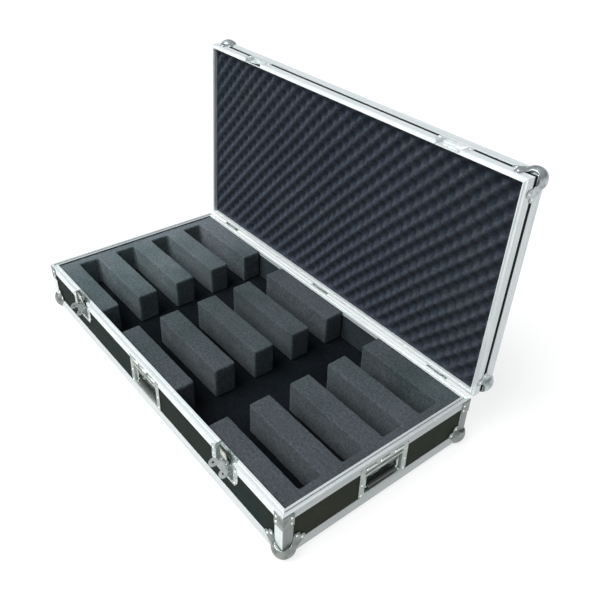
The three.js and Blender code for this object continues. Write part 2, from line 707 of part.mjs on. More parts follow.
// Hook plate that rocks on the spindle's neck, upright as when latched, pivot at the origin
function latchHook() {
  const half = HOOK_THICKNESS / 2;
  const side = [
    [half, -HOOK_RING_RADIUS], [half, HOOK_STEP_START],
    [half - HOOK_STEP_OUT, HOOK_STEP_END], [half - HOOK_STEP_OUT, hookTop - HOOK_LIP],
    [half - HOOK_STEP_OUT + HOOK_LIP_REACH, hookTop - HOOK_LIP],
    [half - HOOK_STEP_OUT + HOOK_LIP_REACH, hookTop],
    [-half - HOOK_STEP_OUT, hookTop], [-half - HOOK_STEP_OUT, HOOK_STEP_END],
    [-half, HOOK_STEP_START], [-half, -HOOK_RING_RADIUS],
  ];
  const wide = HOOK_WIDTH / 2;
  const strip = alongX(polygon(side), -wide, wide);
  const front = -half - HOOK_STEP_OUT;
  const ribs = [];
  for (let rib = 0; rib < HOOK_RIBS; rib += 1) {
    const z = HOOK_STEP_END + HOOK_RIB_MARGIN + rib * HOOK_RIB_PITCH;
    const reach = wide - HOOK_RIB_INSET;
    ribs.push(block(
      [-reach, front - HOOK_RIB_HEIGHT, z], [reach, front + HOOK_RIB_HEIGHT, z + HOOK_RIB_WIDTH]));
  }
  const ringOutline = disc(0, 0, HOOK_RING_RADIUS);
  const ring = outwards(ringOutline, -half, half);
  const beyond = wide + CUT_ROOM;
  const arm = strip.subtract(block([-beyond, -beyond, -beyond], [beyond, beyond, 0]));
  const hole = outwards(disc(0, 0, HOOK_RING_HOLE), -beyond, beyond);
  return joined([arm, ring, ...ribs]).subtract(hole);
}

// Base leaf of a hinge: two side knuckles, the pin and the lugs that stop the lid
function hingeBaseLeaf() {
  const centreHalf = CENTRE_KNUCKLE / 2;
  const sideFrom = centreHalf + FIT;
  const sideTo = sideFrom + SIDE_KNUCKLE;
  const y0 = HALF_Y + SURFACE_GAP;
  const plateTop = HINGE_Z - KNUCKLE_RADIUS - RUNNING_GAP;
  const pieces = [
    block([-sideTo, y0, plateTop - LEAF_HEIGHT], [sideTo, y0 + LEAF_THICKNESS, plateTop]),
    roundBar(PIN_RADIUS, -sideTo, sideTo, HINGE_Y, HINGE_Z),
  ];
  [-1, 1].forEach((sign) => {
    const from = sign > 0 ? sideFrom : -sideTo;
    const to = from + SIDE_KNUCKLE;
    pieces.push(roundBar(KNUCKLE_RADIUS, from, to, HINGE_Y, HINGE_Z));
    pieces.push(block([from, y0, plateTop - JOIN_DEPTH], [to, y0 + LEAF_THICKNESS, HINGE_Z]));
    const leafSlope = STOP_LUG_REACH * Math.sin(radians(OPEN_ANGLE) - RIGHT_ANGLE);
    const lugTop = HINGE_Z + HINGE_AXIS_OUT - SURFACE_GAP - LEAF_THICKNESS - FIT - leafSlope;
    pieces.push(block(
      [from, HINGE_Y, HINGE_Z - KNUCKLE_RADIUS + JOIN_DEPTH], [to, HINGE_Y + STOP_LUG_REACH, lugTop]));
  });
  return joined(pieces);
}

// Lid leaf of a hinge: the centre knuckle with its bore
function hingeLidLeaf() {
  const half = CENTRE_KNUCKLE / 2;
  const side = half + FIT + SIDE_KNUCKLE;
  const y0 = HALF_Y + SURFACE_GAP;
  const plateBottom = HINGE_Z + KNUCKLE_RADIUS + RUNNING_GAP;
  const plate = block(
    [-side, y0, plateBottom], [side, y0 + LEAF_THICKNESS, plateBottom + LEAF_HEIGHT]);
  const web = block([-half, y0, HINGE_Z], [half, y0 + LEAF_THICKNESS, plateBottom + JOIN_DEPTH]);
  const knuckle = roundBar(KNUCKLE_RADIUS, -half, half, HINGE_Y, HINGE_Z);
  const bore = roundBar(PIN_RADIUS + RUNNING_GAP, -side, side, HINGE_Y, HINGE_Z);
  return joined([plate, web, knuckle]).subtract(bore);
}

// Floor panel, with a rebate round its underside that the legs of the edge extrusion lie in
function facePanel() {
  const x = HALF_X - PANEL_OUT;
  const y = HALF_Y - PANEL_OUT;
  const fieldX = HALF_X - EDGE_LEG - FIT;
  const fieldY = HALF_Y - EDGE_LEG - FIT;
  const sheet = block([-x, -y, PANEL_OUT + PANEL_REBATE], [x, y, PANEL_IN]);
  return sheet.add(block([-fieldX, -fieldY, PANEL_OUT], [fieldX, fieldY, PANEL_IN]));
}

// Wall panels of the base, with the openings for handles and latches
function basePanel(side) {
  const { run } = SIDES[side];
  const longSide = side === 'front' || side === 'back';
  const half = longSide ? run - PANEL_OUT : run - PANEL_IN - FIT;
  const low = [-half, PANEL_OUT, PANEL_IN + FIT];
  const high = [half, PANEL_IN, BASE_HEIGHT - WEB_BOTTOM - FIT];
  return placeOnSide(without(block(low, high), cutsFor(side)), side);
}

function cutsFor(side) {
  const cuts = [];
  if (side !== 'back') cuts.push(handleTubOuter(FIT));
  if (side === 'front') {
    LATCH_PLACES.forEach((x) => cuts.push(latchRoom().translate([x, 0, 0])));
  }
  return cuts;
}

function baseRim(side) {
  const cuts = cutsFor(side);
  if (side !== 'back') {
    const half = HANDLE_FLANGE_WIDTH / 2 + FIT;
    const top = handleFlangeTop + FIT;
    cuts.push(block([-half, -METAL_WALL, 0], [half, PANEL_OUT, top]));
  }
  if (side === 'front') {
    LATCH_PLACES.forEach((x) => {
      cuts.push(outwards(baseLatchOutline(FIT), -PANEL_OUT, METAL_WALL).translate([x, 0, 0]));
    });
  }
  const { across, turn } = SIDES[side];
  const placed = cuts.map((cut) => cut.translate([0, -across, 0]).rotate([0, 0, 90 * turn]));
  return without(mitredBar(polygon(baseRimProfile()), side), placed);
}

// Square relief that is routed in the foam behind a handle dish
function handleRelief() {
  const room = DISH_WALL + POCKET_ROOM;
  const half = HANDLE_OPENING_WIDTH / 2 + room;
  const low = [-half, 0, HANDLE_OPENING_BOTTOM - room];
  const depth = HANDLE_TUB_DEPTH + DISH_WALL + HANDLE_RELIEF;
  return block(low, [half, depth, HANDLE_OPENING_BOTTOM + HANDLE_OPENING_HEIGHT + room]);
}

// Room that the dishes need in the foam of the base
function foamPockets() {
  const pockets = ['front', 'left', 'right'].map((side) => placeOnSide(handleRelief(), side));
  LATCH_PLACES.forEach((x) => {
    pockets.push(placeOnSide(latchRoom().translate([x, POCKET_ROOM, 0]), 'front'));
  });
  return pockets;
}

function foamFloor() {
  const x = HALF_X - LEG_OUT;
  const y = HALF_Y - LEG_OUT;
  const floor = block([-x, -y, PANEL_IN + FIT], [x, y, FOAM_FLOOR_TOP]);
  return without(floor, foamPockets());
}

const foamHalfX = HALF_X - FOAM_OUT;
const foamHalfY = HALF_Y - FOAM_OUT;
const foamRib = (2 * foamHalfY - FOAM_SLOTS * FOAM_SLOT) / (FOAM_SLOTS + 1);
const foamBottom = FOAM_FLOOR_TOP + FIT;

// Foam block at the left end of the case: an end wall with five ribs
function foamComb(length) {
  const end = -foamHalfX + length;
  const whole = block([-foamHalfX, -foamHalfY, foamBottom], [end, foamHalfY, FOAM_TOP]);
  const slots = [];
  for (let slot = 0; slot < FOAM_SLOTS; slot += 1) {
    const start = -foamHalfY + foamRib + slot * (foamRib + FOAM_SLOT);
    slots.push(block(
      [-foamHalfX + FOAM_END_WALL, start, foamBottom - CUT_ROOM],
      [end + CUT_ROOM, start + FOAM_SLOT, FOAM_TOP + CUT_ROOM]));
  }
  return without(whole, [...slots, ...foamPockets()]);
}

// One of the five middle foam blocks, in line with the ribs
function foamIsland(rib) {
  const start = -foamHalfY + rib * (foamRib + FOAM_SLOT);
  const left = -foamHalfX + LEFT_COMB_LENGTH + LEFT_CUT_WIDTH;
  const right = foamHalfX - RIGHT_COMB_LENGTH - RIGHT_CUT_WIDTH;
  const island = block([left, start, foamBottom], [right, start + foamRib, FOAM_TOP]);
  return without(island, foamPockets());
}

// Convoluted foam of the lid: peaks and valleys in a chequered grid, over a flat back
function lidFoam() {
  const countX = Math.round((2 * foamHalfX) / CONVOLUTION_PITCH_X);
  const countY = Math.round((2 * foamHalfY) / CONVOLUTION_PITCH_Y);
  const back = PARTING + LID_HEIGHT - PANEL_IN - FIT;
  const peak = PARTING + LID_FOAM_RECESS;
  const positions = [];
  for (let j = 0; j <= countY; j += 1) {
    for (let i = 0; i <= countX; i += 1) {
      const x = -foamHalfX + (2 * foamHalfX * i) / countX;
      const y = -foamHalfY + (2 * foamHalfY * j) / countY;
      const z = (i + j) % 2 === 0 ? peak : peak + CONVOLUTION_DEPTH;
      positions.push(x, y, z);
    }
  }
  const at = (i, j) => j * (countX + 1) + i;
  const index = [];
  for (let j = 0; j < countY; j += 1) {
    for (let i = 0; i < countX; i += 1) {
      const [a, b, c, d] = [at(i, j), at(i + 1, j), at(i + 1, j + 1), at(i, j + 1)];
      if ((i + j) % 2 === 0) index.push(a, c, b, a, d, c);
      else index.push(a, d, b, b, d, c);
    }
  }
  closeBack(positions, index, edgeLoop(countX, countY, at), back);
  const geometry = new THREE.BufferGeometry();
  geometry.setAttribute('position', new THREE.Float32BufferAttribute(positions, 3));
  geometry.setIndex(index);
  return toSolid(geometry);
}

// Grid points round the edge, counter-clockwise seen from above
function edgeLoop(countX, countY, at) {
  const loop = [];
  for (let i = 0; i < countX; i += 1) loop.push(at(i, 0));
  for (let j = 0; j < countY; j += 1) loop.push(at(countX, j));
  for (let i = countX; i > 0; i -= 1) loop.push(at(i, countY));
  for (let j = countY; j > 0; j -= 1) loop.push(at(0, j));
  return loop;
}

// Side walls from the edge loop up to a flat back at the given height
function closeBack(positions, index, loop, back) {
  const first = positions.length / 3;
  loop.forEach((point) => positions.push(positions[3 * point], positions[3 * point + 1], back));
  const centre = positions.length / 3;
  positions.push(0, 0, back);
  loop.forEach((point, place) => {
    const next = (place + 1) % loop.length;
    const [low, lowNext] = [point, loop[next]];
    const [high, highNext] = [first + place, first + next];
    index.push(low, lowNext, highNext, low, highNext, high);
    index.push(centre, high, highNext);
  });
}

// Scene graph. The sizes above are counted from the underside of the bottom extrusions,
// and the origin lies on the underside of the floor panel, a little higher.
const flightCase = new THREE.Group();
const shell = new THREE.Group();
const base = new THREE.Group();
const lid = new THREE.Group();
flightCase.add(shell);
shell.add(base, lid);
shell.position.z = -PANEL_OUT;

// The lid is modelled closed and swings open about the hinge pins
lid.position.set(0, HINGE_Y, HINGE_Z);
lid.rotation.x = -radians(OPEN_ANGLE);

function addPiece(group, name, solid, material) {
  const mesh = new THREE.Mesh(toGeometry(solid), material());
  mesh.name = name;
  group.add(mesh);
  return mesh;
}

function addToLid(name, solid, material) {
  return addPiece(lid, name, solid.translate([0, -HINGE_Y, -HINGE_Z]), material);
}

// Base shell
addPiece(base, 'base_floor_panel', facePanel(), laminate);
Object.keys(SIDES).forEach((side) => {
  addPiece(base, `base_${side}_panel`, basePanel(side), laminate);
  addPiece(base, `base_rim_${side}`, baseRim(side), aluminium);
  const edge = mitredBar(polygon(bottomEdgeProfile()), side);
  addPiece(base, `base_bottom_edge_${side}`, edge, aluminium);
});

const CORNERS = [
  ['front_left', -1, -1], ['front_right', 1, -1], ['back_left', -1, 1], ['back_right', 1, 1],
];
CORNERS.forEach(([place, signX, signY]) => {
  addPiece(base, `base_corner_angle_${place}`, cornerAngle(signX, signY), aluminium);
  const low = ballCorner().translate([-HALF_X, -HALF_Y, 0]);
  const baseBall = mirrored(low, signX > 0, signY > 0);
  addPiece(base, `base_ball_corner_${place}`, baseBall, zincSteel);
  const high = ballCorner().mirror([0, 0, 1]).translate([-HALF_X, -HALF_Y, PARTING + LID_HEIGHT]);
  const lidBall = mirrored(high, signX > 0, signY > 0);
  addToLid(`lid_ball_corner_${place}`, lidBall, zincSteel);
});

// Lid shell
const lidTop = PARTING + LID_HEIGHT;
addToLid('lid_top_panel', facePanel().mirror([0, 0, 1]).translate([0, 0, lidTop]), laminate);
const catchCuts = LATCH_PLACES.map((x) => placeOnSide(catchRoom().translate([x, 0, 0]), 'front'));
const valanceCuts = LATCH_PLACES.map((x) => {
  const notch = outwards(lidLatchOutline(FIT), -PANEL_OUT, METAL_WALL).translate([x, 0, 0]);
  return placeOnSide(notch, 'front');
});
const wallBottom = PARTING + LID_WEB + FIT;
const wallTop = lidTop - PANEL_IN - FIT;
const lidWalls = mitredFrame([
  [PANEL_OUT, wallBottom], [PANEL_OUT, wallTop], [PANEL_IN, wallTop], [PANEL_IN, wallBottom],
]);
addToLid('lid_side_walls', without(lidWalls, catchCuts), laminate);
const lidRim = mitredFrame(lidRimProfile());
addToLid('lid_rim', without(lidRim, [...catchCuts, ...valanceCuts]), aluminium);
addToLid('lid_edge_frame', mitredFrame(lidEdgeProfile()), aluminium);
addToLid('lid_convoluted_foam', lidFoam(), charcoalFoam);

// Hinges
const HINGES = [['left', -HINGE_X], ['middle', 0], ['right', HINGE_X]];
HINGES.forEach(([place, x]) => {
  addPiece(base, `hinge_base_leaf_${place}`, hingeBaseLeaf().translate([x, 0, 0]), zincSteel);
  addToLid(`hinge_lid_leaf_${place}`, hingeLidLeaf().translate([x, 0, 0]), zincSteel);
});

// Recessed handles, each with its bail on the pivot rod
['front', 'left', 'right'].forEach((side) => {
  addPiece(base, `handle_dish_${side}`, placeOnSide(handleDish(), side), zincSteel);
  addPiece(base, `carry_handle_${side}`, placeOnSide(handleBail(), side), gripRubber);
});

// Latches: the dish, spindle, wing and hook on the base, and the catch on the lid
[['left', -LATCH_X], ['right', LATCH_X]].forEach(([place, x]) => {
  addPiece(base, `latch_dish_${place}`, placeOnSide(latchDish().translate([x, 0, 0]), 'front'), castAlloy);
  addToLid(`latch_catch_${place}`, placeOnSide(latchCatch().translate([x, 0, 0]), 'front'), castAlloy);
  const spindle = latchSpindle().translate([x, 0, SPINDLE_Z]);
  addPiece(base, `latch_spindle_${place}`, placeOnSide(spindle, 'front'), castAlloy);
  const wing = addPiece(base, `latch_wing_${place}`, latchWing(), castAlloy);
  wing.position.set(x, wingPinDepth - HALF_Y, SPINDLE_Z);
  wing.rotation.x = -radians(WING_REST_ANGLE);
  const hook = addPiece(base, `latch_hook_${place}`, latchHook(), castAlloy);
  hook.position.set(x, hookRingCentre - HALF_Y, SPINDLE_Z);
  hook.rotation.x = radians(HOOK_TILT);
});

// Foam insert of the base
addPiece(base, 'foam_floor', foamFloor(), slateFoam);
addPiece(base, 'foam_comb_left', foamComb(LEFT_COMB_LENGTH), slateFoam);
addPiece(base, 'foam_comb_right', foamComb(RIGHT_COMB_LENGTH).mirror([1, 0, 0]), slateFoam);
for (let rib = 0; rib <= FOAM_SLOTS; rib += 1) {
  addPiece(base, `foam_block_${rib + 1}`, foamIsland(rib), slateFoam);
}

export default flightCase;
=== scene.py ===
import json
import math

import bmesh
import bpy
import numpy as np
from mathutils import Matrix, Vector


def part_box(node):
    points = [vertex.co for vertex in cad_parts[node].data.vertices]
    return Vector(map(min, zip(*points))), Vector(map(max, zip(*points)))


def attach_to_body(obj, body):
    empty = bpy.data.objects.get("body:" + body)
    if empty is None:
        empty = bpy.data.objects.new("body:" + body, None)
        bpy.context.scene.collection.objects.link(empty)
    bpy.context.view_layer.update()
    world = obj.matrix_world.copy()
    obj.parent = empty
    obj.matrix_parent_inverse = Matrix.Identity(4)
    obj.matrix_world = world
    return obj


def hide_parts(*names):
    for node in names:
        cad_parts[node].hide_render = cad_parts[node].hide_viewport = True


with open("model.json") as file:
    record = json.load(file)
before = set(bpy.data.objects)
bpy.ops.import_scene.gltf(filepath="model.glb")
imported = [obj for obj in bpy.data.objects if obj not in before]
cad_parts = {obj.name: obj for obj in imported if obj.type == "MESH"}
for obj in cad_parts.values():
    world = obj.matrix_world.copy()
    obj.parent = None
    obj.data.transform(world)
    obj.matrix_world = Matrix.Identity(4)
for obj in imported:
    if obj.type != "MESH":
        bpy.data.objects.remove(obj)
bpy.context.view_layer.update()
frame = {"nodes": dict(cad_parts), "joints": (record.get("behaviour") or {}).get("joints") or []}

MM = 0.001

# Camera, as solved from the edges of the case; angles in degrees, distances in metres
CAMERA_AZIMUTH = 50.009
CAMERA_ELEVATION = 33.575
CAMERA_ROLL = 2.204
CAMERA_DISTANCE = 2.2625
CAMERA_TARGET = Vector((-0.19231, 0.37927, 0.02275))
CAMERA_LENS = 41.889
CAMERA_SENSOR = 36
CAMERA_SHIFT = (-0.00177, -0.03537)

# Strength of each smoothing, and segments of each eased edge
SMOOTHING = 0.5
EASED_SEGMENTS = 2

# Heights on the closed case, counted from the underside of the floor panel
PARTING = 130.6
LID_TOP = 194.6
CASE_BOTTOM = -1.8

# Ball corners, and the gap that they leave to the extrusions
BALL_GAP = 0.45
BALL_RADIUS = 26.8
BALL_INSET = 15.7
BALL_POWER = 2.15
BALL_SEGMENTS = 64
BALL_RINGS = 32
CORNER_REACH = 90
PETAL_TOP = 1.85
PETAL_BACK = 3
PETAL_TIP = 6
BALL_VOXEL = 0.85
BALL_SMOOTHINGS = 6
PETAL_FOOT = [(31, -1.85), (38, 10), (45.5, 19.5)]
PETAL_FOOT_START = -75
PETAL_MOUTH = [(29.5, -1.85), (28.8, 6), (29.3, 13), (31.3, 18.5), (35, 23), (40.5, 26)]
PETAL_MOUTH_START = -100
MOUTH_REACH = 60
PETAL_LOBE_RADIUS = 9.2
PETAL_LOBE_END = 108
PETAL_LOBE_STEPS = 14
PETAL_DIP = 44.8
PETAL_RIVETS = [(50, 36), (36, 50)]
PETAL_RIVET_RADIUS = 3.4
RIVETS_PROUD = 1.6

# Brace plate over each upright corner
BRACE_LEG = 28.3
BRACE_LOW = 89.9
BRACE_HIGH = 126.5
BRACE_OUT = 1.95
BRACE_BACK = 0.6
BRACE_RADIUS = 4.2
BRACE_STEPS = 6
BRACE_EASED = 0.4
BRACE_RIVET_PLACE = 21
BRACE_RIVET_HEIGHTS = (116.2, 100.2)
BRACE_RIVET_RADIUS = 3.2

# Light
SUN_AZIMUTH = -14
SUN_ELEVATION = 52
SUN_WIDTH = 48
SUN_ENERGY = 5.3
SKY_RIM = (1.0, 1.0, 1.0)
SKY_LOW = (0.252, 0.266, 0.28)
SKY_LOW_HEIGHT = 0.2
SKY_HIGH = (0.62, 0.65, 0.68)
FLOOR_GLOW = 0.78
FLOOR_HALF = 60000
FLOOR_THICKNESS = 5
FLOOR_TOP = CASE_BOTTOM - 11.1

# Foam; the painted light falloffs are shares of the tone between two places along X, in metres, and
# make the foam lighter towards the left as painted light
FOAM_WELD = 0.02
FOAM_VOXEL = 3.2
FOAM_SMOOTHINGS = 3
FOAM_GRAIN = 0.35
FOAM_GRAIN_SIZES = ((0.6, 0.045), (0.4, 0.012))
FOAM_CELLS = 900
FOAM_SEED_STEP = 7
FLOOR_FOAM_SEED = 91
FOAM_PAINTED_FALLOFF = (2.2, 1.0)
FOAM_PAINTED_FALLOFF_PLACES = (-0.56, -0.15)
CRATE_STEP = 2.2
CRATE_DEPTH = 16
CRATE_RECESS = 5
CRATE_PITCH = (22, 23.8)
CRATE_EDGE = 10
CRATE_EDGE_DEPTH = 4
CRATE_POWER = 1.15
CRATE_WANDER = 1.2
CRATE_WANDER_SIZE = 0.35
CRATE_WANDER_SEEDS = (11, 23)
CRATE_UNEVEN = 0.5
CRATE_UNEVEN_SHARE = 0.5
CRATE_UNEVEN_SIZE = 0.07
CRATE_UNEVEN_SEED = 5
CRATE_BACK = LID_TOP - 9.6
CRATE_ROWS = 0.24
# Painted light and shade of the convoluted foam by height: pale peaks as painted light, darker
# slopes and hollows as painted shade
CRATE_PAINTED_PEAK_LIGHT = (0.034, 0.041, 0.051)
CRATE_PAINTED_SLOPE_SHADE = (0.025, 0.031, 0.04)
CRATE_PAINTED_HOLLOW_SHADE = (0.014, 0.019, 0.026)
# Painted light falloff of the lid foam: lighter towards the left
CRATE_PAINTED_FALLOFF = (1.1, 0.84)
CRATE_PAINTED_FALLOFF_PLACES = (-0.56, 0.56)


def joint_of(child):
    return next(joint for joint in frame["joints"] if joint["child"] == child)


# Pieces on the lid are shaped with the lid closed and then swung open
lid_joint = joint_of("lid")
LID_OPENING = (
    Matrix.Translation(lid_joint["pos_m"])
    @ Matrix.Rotation(-math.radians(lid_joint["range_deg"][1]), 4, "X")
    @ Matrix.Translation(-Vector(lid_joint["pos_m"]))
)

# Materials; texture scales are in features per metre

NOISE_ROUGHNESS = 0.55
LAMINATE_DRIFT = 9
LAMINATE_PEBBLES = 620
LAMINATE_SCUFFS = 60
LAMINATE_SHEEN = 35
EXTRUSION_LINES = 420
EXTRUSION_STAINS = 14
EXTRUSION_STREAKS = 150
EXTRUSION_SCRATCHES = 170
EXTRUSION_SHEEN = 30
PLATE_MOTTLE = 55
PLATE_SHEEN = 90
PLATE_DENTS = 70
# Scale of the latch metal's mottle, which is partly painted glints
LATCH_GLINT_MOTTLE = 240
GRIP_GRAIN = 900
GRIP_TONES = 50
FOAM_BROAD = 7
FOAM_DRIFT = 3.3
FOAM_MOTTLE = 0.16 * FOAM_CELLS
FOAM_SPECKLE = 0.55 * FOAM_CELLS
FOAM_LUMPS = 0.35 * FOAM_CELLS
FLOOR_SHEEN = 3


class Finish:
    """A procedural material and the nodes that it is made of."""

    def __init__(self, name, colour, roughness, metallic=0.0, **sockets):
        self.material = bpy.data.materials.new(name)
        self.material.use_nodes = True
        self.tree = self.material.node_tree
        self.shader = self.tree.nodes["Principled BSDF"]
        self.place = self.node("ShaderNodeTexCoord").outputs["Object"]
        self.set("Base Color", (*colour, 1))
        self.set("Roughness", roughness)
        self.set("Metallic", metallic)
        for socket, value in sockets.items():
            self.set(socket.replace("_", " "), value)

    def set(self, socket, value):
        self.shader.inputs[socket].default_value = value

    def node(self, kind, **settings):
        made = self.tree.nodes.new(kind)
        for key, value in settings.items():
            setattr(made, key, value)
        return made

    def link(self, output, target):
        self.tree.links.new(output, target)

    def noise(self, scale, detail, stretch=(1, 1, 1)):
        mapping = self.node("ShaderNodeMapping")
        mapping.inputs["Scale"].default_value = stretch
        self.link(self.place, mapping.inputs["Vector"])
        noise = self.node("ShaderNodeTexNoise")
        noise.inputs["Scale"].default_value = scale
        noise.inputs["Detail"].default_value = detail
        noise.inputs["Roughness"].default_value = NOISE_ROUGHNESS
        self.link(mapping.outputs["Vector"], noise.inputs["Vector"])
        return noise.outputs["Fac"]

    def cells(self, scale):
        cells = self.node("ShaderNodeTexVoronoi")
        cells.inputs["Scale"].default_value = scale
        self.link(self.place, cells.inputs["Vector"])
        return cells.outputs["Distance"]

    def ramp(self, source, stops):
        ramp = self.node("ShaderNodeValToRGB")
        elements = ramp.color_ramp.elements
        while len(elements) < len(stops):
            elements.new(0.5)
        for element, (position, value) in zip(elements, stops):
            element.position = position
            colour = value if isinstance(value, tuple) else (value, value, value)
            element.color = (*colour, 1)
        self.link(source, ramp.inputs["Fac"])
        return ramp.outputs["Color"]

    def mix(self, factor, first, second, blend="MIX"):
        mix = self.node("ShaderNodeMix", data_type="RGBA", blend_type=blend)
        for socket, value in ((0, factor), (6, first), (7, second)):
            if isinstance(value, bpy.types.NodeSocket):
                self.link(value, mix.inputs[socket])
            elif socket == 0:
                mix.inputs[socket].default_value = value
            else:
                mix.inputs[socket].default_value = (*value, 1)
        return mix.outputs[2]

    def along(self, direction):
        """Distance from the origin along a direction."""
        product = self.node("ShaderNodeVectorMath", operation="DOT_PRODUCT")
        self.link(self.place, product.inputs[0])
        product.inputs[1].default_value = direction
        return product.outputs["Value"]

    def scaled(self, source, low, high, start=0.0, end=1.0):
        scaled = self.node("ShaderNodeMapRange")
        scaled.inputs["From Min"].default_value = start
        scaled.inputs["From Max"].default_value = end
        scaled.inputs["To Min"].default_value = low
        scaled.inputs["To Max"].default_value = high
        self.link(source, scaled.inputs["Value"])
        return scaled.outputs["Result"]

    def bump(self, height, distance, strength, under=None):
        bump = self.node("ShaderNodeBump")
        bump.inputs["Strength"].default_value = strength
        bump.inputs["Distance"].default_value = distance
        self.link(height, bump.inputs["Height"])
        if under is not None:
            self.link(under, bump.inputs["Normal"])
        return bump.outputs["Normal"]

    def colour(self, output):
        self.link(output, self.shader.inputs["Base Color"])

    def rough(self, output):
        self.link(output, self.shader.inputs["Roughness"])

    def normal(self, output):
        self.link(output, self.shader.inputs["Normal"])


def laminate_finish(name, cool, warm):
    """Black panel laminate with a fine pebbled grain and light scuffs."""
    finish = Finish(name, cool, 0.5, Specular_IOR_Level=0.01)
    tone = finish.ramp(finish.noise(LAMINATE_DRIFT, 4), [(0.3, cool), (0.7, warm)])
    pebbles = finish.cells(LAMINATE_PEBBLES)
    speck = finish.ramp(pebbles, [(0.0, 1.4), (0.6, 0.75)])
    scratched = finish.noise(LAMINATE_SCUFFS, 6, (0.15, 0.15, 1))
    scuffs = finish.ramp(scratched, [(0.66, 0.0), (0.82, 0.08)])
    toned = finish.mix(1.0, tone, speck, "MULTIPLY")
    finish.colour(finish.mix(scuffs, toned, (0.06, 0.065, 0.06)))
    finish.rough(finish.scaled(finish.noise(LAMINATE_SHEEN, 4), 0.42, 0.6))
    finish.normal(finish.bump(pebbles, 0.00025, 0.55))
    return finish.material


def aluminium_finish(name, stretch, tone):
    """Extruded aluminium: fine lines along its length, faint stains and scratches."""
    colour = tuple(tone * share for share in (0.95, 1.0, 1.0))
    finish = Finish(name, colour, 0.42, 0.5)
    lines = finish.noise(EXTRUSION_LINES, 2, stretch)
    darker = tuple(tone * share for share in (0.88, 0.96, 0.965))
    stained = finish.ramp(finish.noise(EXTRUSION_STAINS, 5), [(0.3, darker), (0.66, colour)])
    drawn = finish.noise(EXTRUSION_STREAKS, 3, stretch)
    streaks = finish.ramp(drawn, [(0.35, 0.9), (0.65, 1.04)])
    scratched = finish.noise(EXTRUSION_SCRATCHES, 4, stretch)
    scratches = finish.ramp(scratched, [(0.68, 0.0), (0.76, 0.25)])
    toned = finish.mix(1.0, stained, streaks, "MULTIPLY")
    finish.colour(finish.mix(scratches, toned, (0.4, 0.42, 0.425)))
    finish.rough(finish.scaled(finish.noise(EXTRUSION_SHEEN, 5), 0.34, 0.5))
    finish.normal(finish.bump(lines, 0.00008, 0.35))
    return finish.material


def metal_finish(name, dark, light, metallic, smoothest, roughest, mottle=PLATE_MOTTLE):
    """Plated metal with a mottle between two colours and two roughnesses: the mottle of handling,
    and on the latch metal also painted glints.
    """
    finish = Finish(name, light, roughest, metallic)
    finish.colour(finish.ramp(finish.noise(mottle, 5), [(0.3, dark), (0.68, light)]))
    finish.rough(finish.scaled(finish.noise(PLATE_SHEEN, 4), smoothest, roughest))
    finish.normal(finish.bump(finish.noise(PLATE_DENTS, 3), 0.0004, 0.3))
    return finish.material


def grip_finish():
    """Moulded black grip with a fine matt texture."""
    finish = Finish("grip_rubber", (0.014, 0.015, 0.017), 0.3, Specular_IOR_Level=0.9)
    grain = finish.noise(GRIP_GRAIN, 2)
    stops = [(0.3, (0.01, 0.011, 0.012)), (0.7, (0.02, 0.021, 0.023))]
    finish.colour(finish.ramp(finish.noise(GRIP_TONES, 3), stops))
    finish.rough(finish.scaled(grain, 0.18, 0.3))
    finish.normal(finish.bump(grain, 0.0001, 0.3))
    return finish.material


def foam_base(name, colour, sheen):
    """The matt shader of all foam."""
    return Finish(
        name, colour, 0.92, 0.0,
        Sheen_Weight=sheen, Sheen_Roughness=0.5, Specular_IOR_Level=0.0,
    )


def foam_tone(finish, dark, light, violet):
    """Open-cell foam: faint changes of tone, fine cells in colour and in relief."""
    broad = finish.ramp(finish.noise(FOAM_BROAD, 4), [(0.32, dark), (0.66, light)])
    drift = finish.ramp(finish.noise(FOAM_DRIFT, 2), [(0.4, 0.0), (0.62, 0.55)])
    toned = finish.mix(drift, broad, violet)
    mottled = finish.ramp(finish.noise(FOAM_MOTTLE, 3), [(0.36, 0.8), (0.64, 1.22)])
    toned = finish.mix(1.0, toned, mottled, "MULTIPLY")
    speckle = finish.ramp(finish.noise(FOAM_SPECKLE, 2), [(0.3, 0.62), (0.7, 1.4)])
    coarse = finish.bump(finish.noise(FOAM_LUMPS, 3), 0.0008, 0.4)
    finish.normal(finish.bump(finish.cells(FOAM_CELLS), 0.0006, 0.6, coarse))
    return finish.mix(1.0, toned, speckle, "MULTIPLY")


def painted_light_falloff(finish, toned, falloff_shares, places):
    """Painted light: a tone that changes along the case, as the light in the room does."""
    # Painted light: the tone is multiplied by a share that falls off along X
    painted_falloff = finish.scaled(finish.along((1, 0, 0)), *falloff_shares, *places)
    finish.colour(finish.mix(1.0, toned, painted_falloff, "MULTIPLY"))
    return finish.material


def foam_finish(name, dark, light, violet, sheen):
    """Foam cut from a sheet, with the painted light falloff along the case."""
    finish = foam_base(name, light, sheen)
    return painted_light_falloff(finish, foam_tone(finish, dark, light, violet), FOAM_PAINTED_FALLOFF, FOAM_PAINTED_FALLOFF_PLACES)


